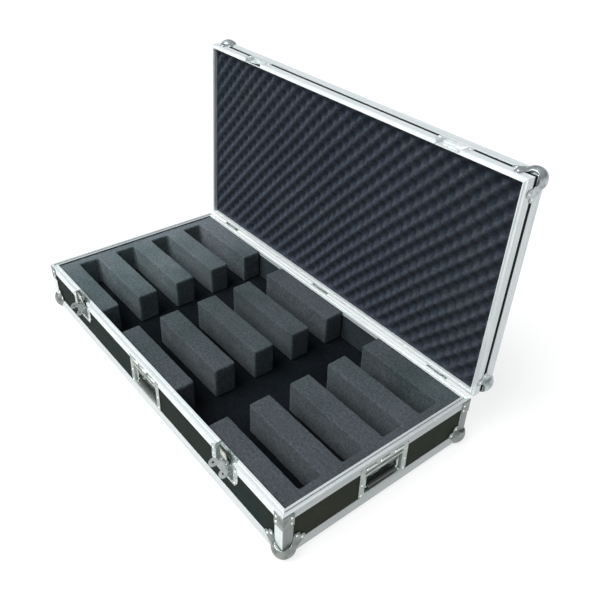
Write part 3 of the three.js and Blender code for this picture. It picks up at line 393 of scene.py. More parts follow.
def crate_foam_finish():
    """Convoluted foam, paler on its peaks as painted light and dark in its hollows as painted
    shade.
    """
    finish = foam_base("charcoal_foam", CRATE_PAINTED_PEAK_LIGHT, 0.05)
    outwards = -(LID_OPENING.to_3x3() @ Vector((0, 0, 1)))
    peaks = (LID_OPENING @ (Vector((0, 0, PARTING + CRATE_RECESS)) * MM)).dot(outwards)
    height = finish.scaled(finish.along(outwards), 0, 1, peaks - CRATE_DEPTH * MM, peaks)
    # Painted shade: colour from the height alone, dark in the hollows and pale on the peaks
    shade = finish.ramp(height, [(0.2, CRATE_PAINTED_HOLLOW_SHADE), (0.6, CRATE_PAINTED_SLOPE_SHADE), (0.95, CRATE_PAINTED_PEAK_LIGHT)])
    tone = foam_tone(finish, (0.85, 0.9, 0.95), (1.1, 1.08, 1.05), (1.1, 1.0, 1.12))
    toned = finish.mix(1.0, shade, tone, "MULTIPLY")
    return painted_light_falloff(finish, toned, CRATE_PAINTED_FALLOFF, CRATE_PAINTED_FALLOFF_PLACES)


def floor_finish():
    """White sheet that is lit from below as well, so that it has only faint shadows."""
    finish = Finish("pale_floor", (0.2, 0.2, 0.2), 0.8, Specular_IOR_Level=0.0)
    finish.set("Emission Color", (1, 1, 1, 1))
    finish.set("Emission Strength", FLOOR_GLOW)
    finish.rough(finish.scaled(finish.noise(FLOOR_SHEEN, 2), 0.75, 0.85))
    return finish.material


LAMINATE = laminate_finish("black_laminate", (0.0095, 0.019, 0.018), (0.0175, 0.021, 0.017))
# Laminate on the faces towards the right, lighter than the rest as a painted reflection
LAMINATE_PAINTED_REFLECTION = laminate_finish("laminate_painted_reflection", (0.028, 0.034, 0.027), (0.04, 0.042, 0.03))
# Each aluminium has its lines along its length; the across and upright ones are darker copies of
# the one along the case, as painted shade of the sides and corners
ALUMINIUM_X = aluminium_finish("aluminium_along", (0.02, 1, 1), 0.72)
ALUMINIUM_Y = aluminium_finish("aluminium_across", (1, 0.02, 1), 0.58)
ALUMINIUM_Z = aluminium_finish("aluminium_upright", (1, 1, 0.02), 0.64)
LOW_ALUMINIUM = aluminium_finish("aluminium_low", (0.02, 1, 1), 0.57)
# Darker aluminium for the faces towards the right, as painted shade
EXTRUSION_PAINTED_SHADE = aluminium_finish("aluminium_painted_shade", (1, 0.02, 1), 0.43)
ANGLE_PAINTED_SHADE = aluminium_finish("aluminium_angle_painted_shade", (1, 1, 0.02), 0.23)
LINING = foam_finish(
    "dark_lining", (0.014, 0.02, 0.022), (0.024, 0.033, 0.036), (0.02, 0.024, 0.028), 0.0,
)
LID_ZINC = metal_finish("bright_zinc", (0.22, 0.25, 0.26), (0.5, 0.54, 0.54), 0.8, 0.2, 0.4)
ZINC = metal_finish("zinc_steel", (0.09, 0.11, 0.11), (0.29, 0.31, 0.285), 0.7, 0.28, 0.46)
DISH_ZINC = metal_finish("dish_zinc", (0.26, 0.3, 0.28), (0.4, 0.44, 0.41), 0.85, 0.26, 0.44)
RIVET = metal_finish("bright_rivet", (0.72, 0.74, 0.74), (0.9, 0.92, 0.92), 0.75, 0.2, 0.34)
BAIL = metal_finish("bail_steel", (0.34, 0.38, 0.36), (0.52, 0.56, 0.54), 0.9, 0.2, 0.36)
# The latch metal's strong light and dark mottle is partly painted glints
LATCH = metal_finish(
    "latch_chrome", (0.04, 0.065, 0.065), (0.6, 0.67, 0.65), 0.5, 0.12, 0.3, LATCH_GLINT_MOTTLE,
)
WING = metal_finish("wing_satin", (0.11, 0.121, 0.12), (0.15, 0.162, 0.16), 0.6, 0.4, 0.54)
CATCH = metal_finish("catch_plate", (0.5, 0.54, 0.54), (0.7, 0.74, 0.74), 0.6, 0.25, 0.42)
HOOK = metal_finish("hook_plate", (0.05, 0.065, 0.06), (0.12, 0.135, 0.125), 0.9, 0.18, 0.34)
# The hook ribs' paler metal is a painted highlight on the hook plate
HOOK_RIB = metal_finish("hook_rib", (0.34, 0.35, 0.31), (0.5, 0.5, 0.44), 0.3, 0.3, 0.45)
GRIP = grip_finish()
SLATE = foam_finish(
    "slate_foam", (0.028, 0.038, 0.04), (0.045, 0.058, 0.061), (0.042, 0.045, 0.053), 0.05,
)
# The foam floor of the slots is a much darker copy of the slate foam, as painted shade at the
# bottom of the slots
SLATE_FLOOR_PAINTED_SHADE = foam_finish(
    "slate_floor_painted_shade_foam", (0.003, 0.0042, 0.005), (0.006, 0.008, 0.0095),
    (0.0055, 0.006, 0.0075), 0.0,
)
CHARCOAL = crate_foam_finish()

# Mesh helpers


def mesh_piece(name, vertices, faces, material, smooth=True):
    """New object from millimetre vertices in the row frame."""
    mesh = bpy.data.meshes.new(name)
    mesh.from_pydata([Vector(v) * MM for v in vertices], [], faces)
    mesh.materials.append(material)
    piece = bpy.data.objects.new(name, mesh)
    bpy.context.scene.collection.objects.link(piece)
    if smooth:
        mesh.shade_smooth()
    return piece


def attach(piece, body, slot, *replaced):
    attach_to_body(piece, body)
    if replaced:
        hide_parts(*replaced)


def box_mesh(low, high):
    """Vertices and outward faces of a box."""
    spans = tuple(zip(low, high))
    corners = [(x, y, z) for z in spans[2] for y in spans[1] for x in spans[0]]
    faces = [(0, 2, 3, 1), (4, 5, 7, 6), (0, 1, 5, 4), (2, 6, 7, 3), (0, 4, 6, 2), (1, 3, 7, 5)]
    return corners, faces


def ring_faces(rings, sides):
    """Outward faces over both ends of a row of rings of vertices, and between the rings."""
    last = (rings - 1) * sides
    faces = [tuple(reversed(range(sides))), tuple(range(last, last + sides))]
    for ring in range(rings - 1):
        for side in range(sides):
            a, b = ring * sides + side, ring * sides + (side + 1) % sides
            faces.append((a, b, b + sides, a + sides))
    return faces


def prism_mesh(outline, low, high):
    """Vertices and faces of an outline (counter-clockwise) between two heights."""
    vertices = [(x, y, z) for z in (low, high) for x, y in outline]
    return vertices, ring_faces(2, len(outline))


def turned_over(faces):
    """The same faces seen from their other side."""
    return [tuple(reversed(face)) for face in faces]


def merged(parts):
    """One vertex and face list from several closed parts."""
    vertices, faces = [], []
    for part_vertices, part_faces in parts:
        first = len(vertices)
        vertices.extend(part_vertices)
        faces.extend(tuple(first + index for index in face) for face in part_faces)
    return vertices, faces


def modifier(piece, kind, **settings):
    made = piece.modifiers.new(kind.title(), kind)
    for key, value in settings.items():
        setattr(made, key, value)
    return made


def apply_modifiers(piece):
    """Bakes a piece's modifiers into its mesh."""
    graph = bpy.context.evaluated_depsgraph_get()
    baked = bpy.data.meshes.new_from_object(piece.evaluated_get(graph))
    old = piece.data
    piece.modifiers.clear()
    piece.data = baked
    bpy.data.meshes.remove(old)


def cut(piece, parts):
    """Subtracts closed parts, in millimetres, from a piece."""
    vertices, faces = merged(parts)
    cutter = mesh_piece("cutter", vertices, faces, LAMINATE, smooth=False)
    modifier(piece, "BOOLEAN", operation="DIFFERENCE", solver="EXACT", object=cutter)
    apply_modifiers(piece)
    bpy.data.objects.remove(cutter)


def coordinates(piece):
    values = np.zeros(len(piece.data.vertices) * 3, np.float32)
    piece.data.vertices.foreach_get("co", values)
    return values.reshape(-1, 3)


def set_coordinates(piece, values):
    piece.data.vertices.foreach_set("co", np.asarray(values, np.float32).ravel())
    piece.data.update()


def open_lid(piece):
    """Swings a piece that was shaped on the closed lid to the open lid."""
    piece.data.transform(LID_OPENING)
    piece.data.update()
    return piece


# Rivets, gathered for each body and made as one piece of separate heads

RIVET_DOME = [(0.35, 0.93), (0.66, 0.72), (0.88, 0.4), (1.0, 0.0)]
RIVET_SIDES = 16
RIVET_SHANK = 0.9
RIVET_SINK = 0.4


def dome(centre, normal, radius, height):
    """A closed rivet head that stands on a surface along its normal."""
    turn = Vector(normal).to_track_quat("Z", "Y").to_matrix()
    centre = Vector(centre)
    rings = [(share * radius, rise * height) for share, rise in RIVET_DOME]
    rings.append((radius * RIVET_SHANK, -RIVET_SINK))
    vertices = [centre + turn @ Vector((0, 0, height))]
    for ring_radius, rise in rings:
        for side in range(RIVET_SIDES):
            angle = 2 * math.pi * side / RIVET_SIDES
            point = Vector((ring_radius * math.cos(angle), ring_radius * math.sin(angle), rise))
            vertices.append(centre + turn @ point)
    faces = []
    for side in range(RIVET_SIDES):
        following = (side + 1) % RIVET_SIDES
        faces.append((0, 1 + side, 1 + following))
        for ring in range(len(rings) - 1):
            first = 1 + ring * RIVET_SIDES
            second = first + RIVET_SIDES
            faces.append((first + side, second + side, second + following, first + following))
    last = 1 + (len(rings) - 1) * RIVET_SIDES
    faces.append(tuple(last + side for side in reversed(range(RIVET_SIDES))))
    return vertices, faces


rivets = {"base": [], "lid": []}


def rivet(body, centre, normal, radius, height=RIVETS_PROUD):
    rivets[body].append(dome(centre, normal, radius, height))


# Corner shapes are built for the front left low corner and mirrored to the others

CORNERS = {
    "front_left": (-1, -1), "front_right": (1, -1), "back_left": (-1, 1), "back_right": (1, 1),
}
HALF_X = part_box("base_bottom_edge_right")[1].x / MM
HALF_Y = -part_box("base_bottom_edge_front")[0].y / MM


def to_corner(point, sign_x, sign_y, upper):
    """From the octant of a low front left corner at the origin to a corner of the case."""
    x, y, z = point
    height = LID_TOP - z if upper else CASE_BOTTOM + z
    return (sign_x * (HALF_X - x), sign_y * (HALF_Y - y), height)


def to_corner_normal(normal, sign_x, sign_y, upper):
    x, y, z = normal
    return (-sign_x * x, -sign_y * y, -z if upper else z)


def petal_outline(upright):
    """Outline of a petal with round lobes. An upright one leaves the corner angle free."""
    foot, mouth = (
        edge + arc_points(
            PETAL_RIVETS[0], PETAL_LOBE_RADIUS, start, PETAL_LOBE_END, PETAL_LOBE_STEPS)
        for edge, start in ((PETAL_FOOT, PETAL_FOOT_START), (PETAL_MOUTH, PETAL_MOUTH_START))
    )
    second = mouth if upright else foot
    tip = [(-PETAL_TOP, PETAL_TIP), (PETAL_TIP, -PETAL_TOP)]
    return tip + foot + [(PETAL_DIP, PETAL_DIP)] + [(y, x) for x, y in reversed(second)]


def arc_points(centre, radius, start, end, steps):
    """Points of an arc in a plane, with its angles in degrees."""
    points = []
    for step in range(steps + 1):
        angle = math.radians(start + (end - start) * step / steps)
        points.append((centre[0] + radius * math.cos(angle), centre[1] + radius * math.sin(angle)))
    return points


def mouth_mesh():
    """Room along the upright edge that the ball and its petals leave to the corner angle."""
    levels = PETAL_MOUTH[1:] + [(MOUTH_REACH, PETAL_MOUTH[-1][1])]
    vertices = []
    for height, across in levels:
        low = -MOUTH_REACH
        for x, y in ((low, low), (across, low), (across, across), (low, across)):
            vertices.append((x, y, height))
    return vertices, ring_faces(len(levels), 4)


def ball_corner_master():
    """Ball and three petals as one smooth pressing, in millimetres around the corner."""
    bm = bmesh.new()
    bmesh.ops.create_uvsphere(bm, u_segments=BALL_SEGMENTS, v_segments=BALL_RINGS, radius=1)
    for vertex in bm.verts:
        size = sum(abs(value) ** BALL_POWER for value in vertex.co) ** (1 / BALL_POWER)
        vertex.co = Vector((BALL_INSET,) * 3) + vertex.co * (BALL_RADIUS / size)
    ball = ([tuple(v.co) for v in bm.verts], [tuple(v.index for v in f.verts) for f in bm.faces])
    bm.free()
    flat = prism_mesh(petal_outline(False), -PETAL_TOP, PETAL_BACK)
    outline, outline_faces = prism_mesh(petal_outline(True), -PETAL_TOP, PETAL_BACK)
    front = ([(x, z, y) for x, y, z in outline], turned_over(outline_faces))
    side = ([(z, x, y) for x, y, z in outline], outline_faces)
    vertices, faces = merged([ball, flat, front, side])
    piece = mesh_piece("ball_corner_master", vertices, faces, ZINC)
    modifier(piece, "REMESH", mode="VOXEL", voxel_size=BALL_VOXEL * MM)
    modifier(piece, "SMOOTH", factor=SMOOTHING, iterations=BALL_SMOOTHINGS)
    apply_modifiers(piece)
    cut(piece, [mouth_mesh()])
    cut(piece, [box_mesh((-BALL_GAP,) * 3, (CORNER_REACH,) * 3)])
    shape = [tuple(vertex.co / MM) for vertex in piece.data.vertices]
    polygons = [tuple(face.vertices) for face in piece.data.polygons]
    bpy.data.objects.remove(piece)
    return shape, polygons


def ball_corners():
    shape, polygons = ball_corner_master()
    for body in ("base", "lid"):
        for place, (sign_x, sign_y) in CORNERS.items():
            upper = body == "lid"
            flips = (sign_x > 0) ^ (sign_y > 0) ^ upper
            vertices = [to_corner(point, sign_x, sign_y, upper) for point in shape]
            faces = turned_over(polygons) if flips else polygons
            node = f"{body}_ball_corner_{place}"
            piece = mesh_piece(f"{body}_ball_{place}", vertices, faces, LID_ZINC if upper else ZINC)
            if upper:
                open_lid(piece)
            attach(piece, body, "zinc_steel", node)
            for along, up in PETAL_RIVETS:
                for point, normal in (
                    ((along, up, -PETAL_TOP), (0, 0, -1)),
                    ((along, -PETAL_TOP, up), (0, -1, 0)),
                    ((-PETAL_TOP, along, up), (-1, 0, 0)),
                ):
                    rivet(
                        body, to_corner(point, sign_x, sign_y, upper),
                        to_corner_normal(normal, sign_x, sign_y, upper), PETAL_RIVET_RADIUS,
                    )


def corner_braces():
    """Bent plates that are riveted over the tops of the upright corners."""
    rounded = BRACE_RADIUS - BRACE_OUT
    outline = arc_points((rounded, rounded), BRACE_RADIUS, 180, 270, BRACE_STEPS) + [
        (BRACE_LEG, -BRACE_OUT), (BRACE_LEG, -BRACE_BACK), (-BRACE_BACK, -BRACE_BACK),
        (-BRACE_BACK, BRACE_LEG), (-BRACE_OUT, BRACE_LEG),
    ]
    for place, (sign_x, sign_y) in CORNERS.items():
        vertices, faces = prism_mesh(outline, BRACE_LOW, BRACE_HIGH)
        placed = [(sign_x * (HALF_X - x), sign_y * (HALF_Y - y), z) for x, y, z in vertices]
        if (sign_x > 0) ^ (sign_y > 0):
            faces = turned_over(faces)
        brace = mesh_piece(f"corner_brace_{place}", placed, faces, ZINC)
        modifier(
            brace, "BEVEL", width=BRACE_EASED * MM, segments=EASED_SEGMENTS, limit_method="ANGLE",
        )
        attach(brace, "base", "zinc_steel")
        inner_x, inner_y = HALF_X - BRACE_RIVET_PLACE, HALF_Y - BRACE_RIVET_PLACE
        outer_x, outer_y = HALF_X + BRACE_OUT, HALF_Y + BRACE_OUT
        for height in BRACE_RIVET_HEIGHTS:
            for x, y, normal in (
                (inner_x, outer_y, (0, sign_y, 0)), (outer_x, inner_y, (sign_x, 0, 0)),
            ):
                rivet("base", (sign_x * x, sign_y * y, height), normal, BRACE_RIVET_RADIUS)


# Foam

WAVES = 14
WAVE_SPREAD = (0.6, 1.7)


def foam_block(node, seed, finish):
    """The foam of a node, remeshed with soft edges and an uneven surface."""
    source = frame["nodes"][node]
    piece = bpy.data.objects.new(f"{node}_surface", source.data.copy())
    bpy.context.scene.collection.objects.link(piece)
    piece.data.materials.clear()
    piece.data.materials.append(finish)
    modifier(piece, "WELD", merge_threshold=FOAM_WELD * MM)
    modifier(piece, "REMESH", mode="VOXEL", voxel_size=FOAM_VOXEL * MM)
    modifier(piece, "SMOOTH", factor=SMOOTHING, iterations=FOAM_SMOOTHINGS)
    apply_modifiers(piece)
    roughen(piece, FOAM_GRAIN, seed)
    piece.data.shade_smooth()
    attach(piece, "base", "slate_foam", node)


def smooth_random(points, size, seed):
    """Smooth pseudo-random values at given points, from waves of about one size in metres."""
    generator = np.random.default_rng(seed)
    total = np.zeros(len(points))
    for _ in range(WAVES):
        direction = generator.normal(size=3)
        direction /= np.linalg.norm(direction)
        frequency = 2 * math.pi / (size * generator.uniform(*WAVE_SPREAD))
        total += np.sin(points @ direction * frequency + generator.uniform(0, 2 * math.pi))
    return total / math.sqrt(WAVES / 2)


def roughen(piece, amount, seed):
    """Moves the surface a little along its normals, at two scales."""
    points = coordinates(piece)
    normals = np.zeros(len(points) * 3, np.float32)
    piece.data.vertices.foreach_get("normal", normals)
    normals = normals.reshape(-1, 3)
    height = sum(
        share * smooth_random(points, size, seed + layer)
        for layer, (share, size) in enumerate(FOAM_GRAIN_SIZES)
    )
    set_coordinates(piece, points + normals * (height * amount * MM)[:, None])


def base_foam():
    for seed, node in enumerate(
        ["foam_comb_left", "foam_comb_right", *[f"foam_block_{n}" for n in range(1, 6)]]
    ):
        foam_block(node, seed * FOAM_SEED_STEP, SLATE)
    foam_block("foam_floor", FLOOR_FOAM_SEED, SLATE_FLOOR_PAINTED_SHADE)


def crate_surface():
    """Points of the convoluted side in rows along X, with the steps along X and along Y."""
    half_x = (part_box("lid_convoluted_foam")[1] / MM).x
    half_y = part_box("foam_comb_left")[1].y / MM
    count_x = round(2 * half_x / CRATE_PITCH[0])
    count_y = round(2 * half_y / CRATE_PITCH[1])
    pitch_x, pitch_y = 2 * half_x / count_x, 2 * half_y / count_y
    steps_x, steps_y = round(2 * half_x / CRATE_STEP), round(2 * half_y / CRATE_STEP)
    xs = np.linspace(-half_x, half_x, steps_x + 1)
    ys = np.linspace(-half_y, half_y, steps_y + 1)
    grid_x, grid_y = np.meshgrid(xs, ys)
    flat_points = np.stack([grid_x.ravel(), grid_y.ravel(), np.zeros(grid_x.size)], 1) * MM
    shift_x, shift_y = (
        CRATE_WANDER * smooth_random(flat_points, CRATE_WANDER_SIZE, seed).reshape(grid_x.shape)
        for seed in CRATE_WANDER_SEEDS
    )
    across = np.pi * (grid_x + half_x + shift_x) / pitch_x
    along = np.pi * (grid_y + half_y + shift_y) / pitch_y
    rising, falling = np.cos(across + along), np.cos(across - along)
    wave = 0.5 * ((1 + CRATE_ROWS) * rising + (1 - CRATE_ROWS) * falling)
    border = np.minimum(half_x - np.abs(grid_x), half_y - np.abs(grid_y)) / CRATE_EDGE
    border = np.clip(border, 0, 1)
    uneven = smooth_random(flat_points, CRATE_UNEVEN_SIZE, CRATE_UNEVEN_SEED)
    uneven = uneven.reshape(grid_x.shape)
    height = (0.5 + 0.5 * wave) ** CRATE_POWER
    depth = CRATE_DEPTH * (1 - height) + CRATE_UNEVEN * (1 + uneven * CRATE_UNEVEN_SHARE)
    depth = border * depth + (1 - border) * CRATE_EDGE_DEPTH
    face = PARTING + CRATE_RECESS
    points = np.stack([grid_x, grid_y, face + depth], -1).reshape(-1, 3)
    return points, steps_x, steps_y


def lid_foam():
    """Convoluted foam: rounded peaks and valleys in a chequered grid, on a flat back."""
    points, steps_x, steps_y = crate_surface()
    vertices = [tuple(point) for point in points]
    row = steps_x + 1
    faces = []
    for j in range(steps_y):
        for i in range(steps_x):
            a = j * row + i
            faces.append((a, a + row, a + row + 1, a + 1))
    loop = list(range(steps_x))
    loop += [j * row + steps_x for j in range(steps_y)]
    loop += [steps_y * row + i for i in range(steps_x, 0, -1)]
    loop += [j * row for j in range(steps_y, 0, -1)]
    first = len(vertices)
    vertices.extend((vertices[index][0], vertices[index][1], CRATE_BACK) for index in loop)
    for place, index in enumerate(loop):
        following = (place + 1) % len(loop)
        faces.append((index, loop[following], first + following, first + place))
    faces.append(tuple(first + place for place in range(len(loop))))
    piece = open_lid(mesh_piece("lid_egg_crate_foam", vertices, faces, CHARCOAL))
    attach(piece, "lid", "charcoal_foam", "lid_convoluted_foam")


# Handles

SIDE_TURN = {"front": 0, "right": 90, "left": -90}
SIDE_OUT = {"front": HALF_Y, "right": HALF_X, "left": HALF_X}
PIVOT_DEPTH = 7.5
PIVOT_HEIGHT = 82.7
PIVOT_HALF = 53.6
PIVOT_RADII = (2.6, 3.0)
PIVOT_SIDES = 24
GRIP_HEIGHT = 45.2
GRIP_HALF = 43
GRIP_RADIUS = 6.1
GRIP_END_RADIUS = 4.2
GRIP_EDGES = (0.8, 0.5)
GRIP_COLLAR = 4
GRIP_RIBS = 18
GRIP_GROOVE_SHARE = 0.32
GRIP_GROOVE_DEPTH = 0.7
GRIP_GROOVE_SLOPE = 0.5
GRIP_SIDES = 32
BAIL_HALF = 50.5
BAIL_BEND = 7
BAIL_STEPS = 8
ROD_RADIUS = 3.2
ROD_SIDES = 16
SPRING_PLACES = (14, 38)
SPRING_RADIUS = 4.6
SPRING_WIRE = 1.1
SPRING_TURNS = 8
SPRING_STEPS = 20
SPRING_SIDES = 8
HANDLE_RIVETS_X = 66
HANDLE_RIVETS_Z = (36, 69)
HANDLE_RIVET_RADIUS = 3.4
HANDLE_RIBS_X = (-42, 0, 42)
HANDLE_RIB_HALF = 15.7
HANDLE_RIB_RADIUS = 1.75
HANDLE_RIB_DEPTH = -1.1
HANDLE_RIB_HEIGHT = 113.5
HANDLE_RIB_END_SHARE = 0.4
HANDLE_RIB_SIDES = 16
RIB_TAPER = 0.6


def placed_on_side(side):
    """From the plane of the front face, with depths along +Y, to a side of the case."""
    return Matrix.Rotation(math.radians(SIDE_TURN[side]), 4, "Z") @ Matrix.Translation(
        (0, -SIDE_OUT[side], 0)
    )


def transformed(part, matrix):
    vertices, faces = part
    return [tuple(matrix @ Vector(v)) for v in vertices], faces


def tube_mesh(path, radius, across, sides):
    """Closed tube along a smooth path that nowhere runs along the given direction."""
    path = [Vector(p) for p in path]
    vertices = []
    for index, point in enumerate(path):
        before, after = path[max(index - 1, 0)], path[min(index + 1, len(path) - 1)]
        along = (after - before).normalized()
        third = along.cross(across).normalized()
        second = third.cross(along).normalized()
        for side in range(sides):
            angle = 2 * math.pi * side / sides
            around = math.cos(angle) * second + math.sin(angle) * third
            vertices.append(tuple(point + radius * around))
    return vertices, ring_faces(len(path), sides)


def turned_mesh(profile, centre, sides):
    """Closed body of revolution about an axis along X, from (place, radius) points."""
    vertices = []
    for place, radius in profile:
        for side in range(sides):
            angle = 2 * math.pi * side / sides
            around = (radius * math.cos(angle), radius * math.sin(angle))
            vertices.append((centre[0] + place, centre[1] + around[0], centre[2] + around[1]))
    return vertices, ring_faces(len(profile), sides)


def rib_profile(half, radius, end_share):
    """Half-round rib with tapered ends, as a profile for turned_mesh."""
    return [
        (-half, end_share * radius), (-half + RIB_TAPER, radius),
        (half - RIB_TAPER, radius), (half, end_share * radius),
    ]


def bail_path():
    """Centre line of the bail: down one leg, under the grip and up the other leg."""
    middle, height = BAIL_HALF - BAIL_BEND, GRIP_HEIGHT + BAIL_BEND
    bends = arc_points((-middle, height), BAIL_BEND, 180, 270, BAIL_STEPS)
    bends += arc_points((middle, height), BAIL_BEND, 270, 360, BAIL_STEPS)
    line = [(-BAIL_HALF, PIVOT_HEIGHT), *bends, (BAIL_HALF, PIVOT_HEIGHT)]
    return [(x, PIVOT_DEPTH, z) for x, z in line]


def grip_profile():
    """Ribbed grip: finger rings between two collars."""
    half, radius = GRIP_HALF, GRIP_RADIUS
    edge, rounding = GRIP_EDGES
    profile = [(-half, GRIP_END_RADIUS), (-half, radius - rounding), (-half + edge, radius)]
    pitch = 2 * (half - GRIP_COLLAR) / GRIP_RIBS
    groove = radius - GRIP_GROOVE_DEPTH
    for rib in range(GRIP_RIBS):
        start = -half + GRIP_COLLAR + rib * pitch
        end = start + pitch * GRIP_GROOVE_SHARE
        profile += [(start, radius), (start + GRIP_GROOVE_SLOPE, groove)]
        profile += [(end, groove), (end + GRIP_GROOVE_SLOPE, radius)]
    profile += [(half - edge, radius), (half, radius - rounding), (half, GRIP_END_RADIUS)]
    return profile


def spring_path(start, end):
    """Centre line of a torsion spring round the pivot rod."""
    points = []
    steps = SPRING_TURNS * SPRING_STEPS
    for step in range(steps + 1):
        share = step / steps
        angle = 2 * math.pi * SPRING_TURNS * share
        points.append((
            start + (end - start) * share,
            PIVOT_DEPTH + SPRING_RADIUS * math.cos(angle),
            PIVOT_HEIGHT + SPRING_RADIUS * math.sin(angle),
        ))
    return points


def bail_mesh():
    """The bent rod and the rod that it pivots on."""
    inner, outer = PIVOT_RADII
    pivot_rod = turned_mesh(
        [(-PIVOT_HALF, inner), (-PIVOT_HALF, outer), (PIVOT_HALF, outer), (PIVOT_HALF, inner)],
        (0, PIVOT_DEPTH, PIVOT_HEIGHT), PIVOT_SIDES,
    )
    return merged([tube_mesh(bail_path(), ROD_RADIUS, (0, 1, 0), ROD_SIDES), pivot_rod])


def springs_mesh():
    """The torsion springs on both ends of the pivot rod."""
    return merged([
        tube_mesh(
            spring_path(*(sign * place for place in SPRING_PLACES)),
            SPRING_WIRE, (1, 0, 0), SPRING_SIDES,
        )
        for sign in (-1, 1)
    ])


def handle_ribs_mesh():
    """Half-round ribs on the flange above the handle."""
    profile = rib_profile(HANDLE_RIB_HALF, HANDLE_RIB_RADIUS, HANDLE_RIB_END_SHARE)
    return merged([
        turned_mesh(profile, (x, HANDLE_RIB_DEPTH, HANDLE_RIB_HEIGHT), HANDLE_RIB_SIDES)
        for x in HANDLE_RIBS_X
    ])


def handles():
    for side in SIDE_TURN:
        matrix = placed_on_side(side)
        body = f"{side}_handle"
        steel = mesh_piece(f"handle_bail_{side}", *transformed(bail_mesh(), matrix), BAIL)
        attach(steel, body, "zinc_steel", f"carry_handle_{side}")
        grip = turned_mesh(grip_profile(), (0, PIVOT_DEPTH, GRIP_HEIGHT), GRIP_SIDES)
        rubber = mesh_piece(f"handle_grip_{side}", *transformed(grip, matrix), GRIP, smooth=False)
        attach(rubber, body, "grip_rubber")
        coils = mesh_piece(f"handle_springs_{side}", *transformed(springs_mesh(), matrix), ZINC)
        attach(coils, body, "zinc_steel")
        # The ribs are real relief; their pale rivet metal, brighter than the dish they stand on, is
        # a painted highlight
        ribs = mesh_piece(f"handle_ribs_{side}", *transformed(handle_ribs_mesh(), matrix), RIVET)
        attach(ribs, "base", "zinc_steel")
        normal = matrix.to_3x3() @ Vector((0, -1, 0))
        for x in (-HANDLE_RIVETS_X, HANDLE_RIVETS_X):
            for z in HANDLE_RIVETS_Z:
                rivet("base", matrix @ Vector((x, 0, z)), normal, HANDLE_RIVET_RADIUS)


# Latches

LATCH_PLACES = {"left": -361, "right": 361}
HOOK_PIVOT = (-274.7, 102.2)
HOOK_LEAN = 8
HOOK_RIB_DEPTH = -4.95
HOOK_RIB_FIRST = 19
HOOK_RIB_PITCH = 4.2
HOOK_RIB_COUNT = 5
HOOK_RIB_HALF = 11.4
HOOK_RIB_RADIUS = 1.05
HOOK_RIB_END_SHARE = 0.5
HOOK_RIB_SIDES = 12
LIP_HALF = 35
LIP_DEPTHS = (-270.8, -265.6)
LIP_HEIGHTS = (130.22, 130.52)


def latch_lips():
    """Thin plates that cover the rim's shelf behind each latch pocket."""
    for place, x in LATCH_PLACES.items():
        low = (x - LIP_HALF, LIP_DEPTHS[0], LIP_HEIGHTS[0])
        high = (x + LIP_HALF, LIP_DEPTHS[1], LIP_HEIGHTS[1])
        lip = mesh_piece(f"latch_lip_{place}", *box_mesh(low, high), LATCH, smooth=False)
        attach(lip, "base", "cast_alloy")


def latch_hook_ribs():
    """Half-round ribs across the front of each hook plate, in a paler metal than the plate as a
    painted highlight.
    """
    profile = rib_profile(HOOK_RIB_HALF, HOOK_RIB_RADIUS, HOOK_RIB_END_SHARE)
    heights = [HOOK_RIB_FIRST + rib * HOOK_RIB_PITCH for rib in range(HOOK_RIB_COUNT)]
    ribs = merged([
        turned_mesh(profile, (0, HOOK_RIB_DEPTH, height), HOOK_RIB_SIDES) for height in heights
    ])
    lean = Matrix.Rotation(math.radians(HOOK_LEAN), 4, "X")
    for place, x in LATCH_PLACES.items():
        leaning = Matrix.Translation((x, *HOOK_PIVOT)) @ lean
        piece = mesh_piece(f"hook_ribs_{place}", *transformed(ribs, leaning), HOOK_RIB)
        attach(piece, f"{place}_hook", "cast_alloy")


# CAD nodes that stay: edges are eased and each gets its finish

FINISHES = {
    "base_rim_front": ALUMINIUM_X, "base_rim_back": ALUMINIUM_X,
    "base_rim_left": ALUMINIUM_Y, "base_rim_right": ALUMINIUM_Y,
    "base_bottom_edge_front": LOW_ALUMINIUM, "base_bottom_edge_back": LOW_ALUMINIUM,
    "base_bottom_edge_left": ALUMINIUM_Y, "base_bottom_edge_right": ALUMINIUM_Y,
    "base_corner_angle": ALUMINIUM_Z,
    "lid_rim": ALUMINIUM_X, "lid_edge_frame": ALUMINIUM_X, "lid_top_panel": LAMINATE,
    "lid_side_walls": LAMINATE, "base_floor_panel": LAMINATE, "base_front_panel": LAMINATE,
    "base_back_panel": LAMINATE, "base_left_panel": LAMINATE, "base_right_panel": LAMINATE,
    "handle_dish": DISH_ZINC, "hinge_base_leaf": ZINC, "hinge_lid_leaf": ZINC,
    "latch_dish": LATCH, "latch_catch": CATCH, "latch_spindle": LATCH, "latch_wing": WING,
    "latch_hook": HOOK,
}

# Faces that look one way and have a colour of their own: darker aluminium towards the right as
# painted shade, lighter laminate towards the right as a painted reflection, and a dark lining on
# the back panel's inner face
FACING = 0.7
FACE_SHADES_AND_LINING = {
    "base_corner_angle": (ANGLE_PAINTED_SHADE, Vector((1, 0, 0))),
    "base_rim_right": (EXTRUSION_PAINTED_SHADE, Vector((1, 0, 0))),
    "base_bottom_edge_right": (EXTRUSION_PAINTED_SHADE, Vector((1, 0, 0))),
    "base_back_panel": (LINING, Vector((0, -1, 0))),
    "base_right_panel": (LAMINATE_PAINTED_REFLECTION, Vector((1, 0, 0))),
}

# The lengths of the lid's frames along its short sides, from their ends inwards
LID_SIDE_WIDTH = 30

# Widths of the eased edges
EASED = {
    "base_rim": 0.35, "base_bottom_edge": 0.35, "base_corner_angle": 0.35, "lid_rim": 0.35,
    "lid_edge_frame": 0.35, "handle_dish": 0.5, "latch_dish": 0.45, "latch_catch": 0.45,
    "latch_wing": 0.5, "latch_hook": 0.4, "latch_spindle": 0.35, "hinge_base_leaf": 0.4,
    "hinge_lid_leaf": 0.4,
}

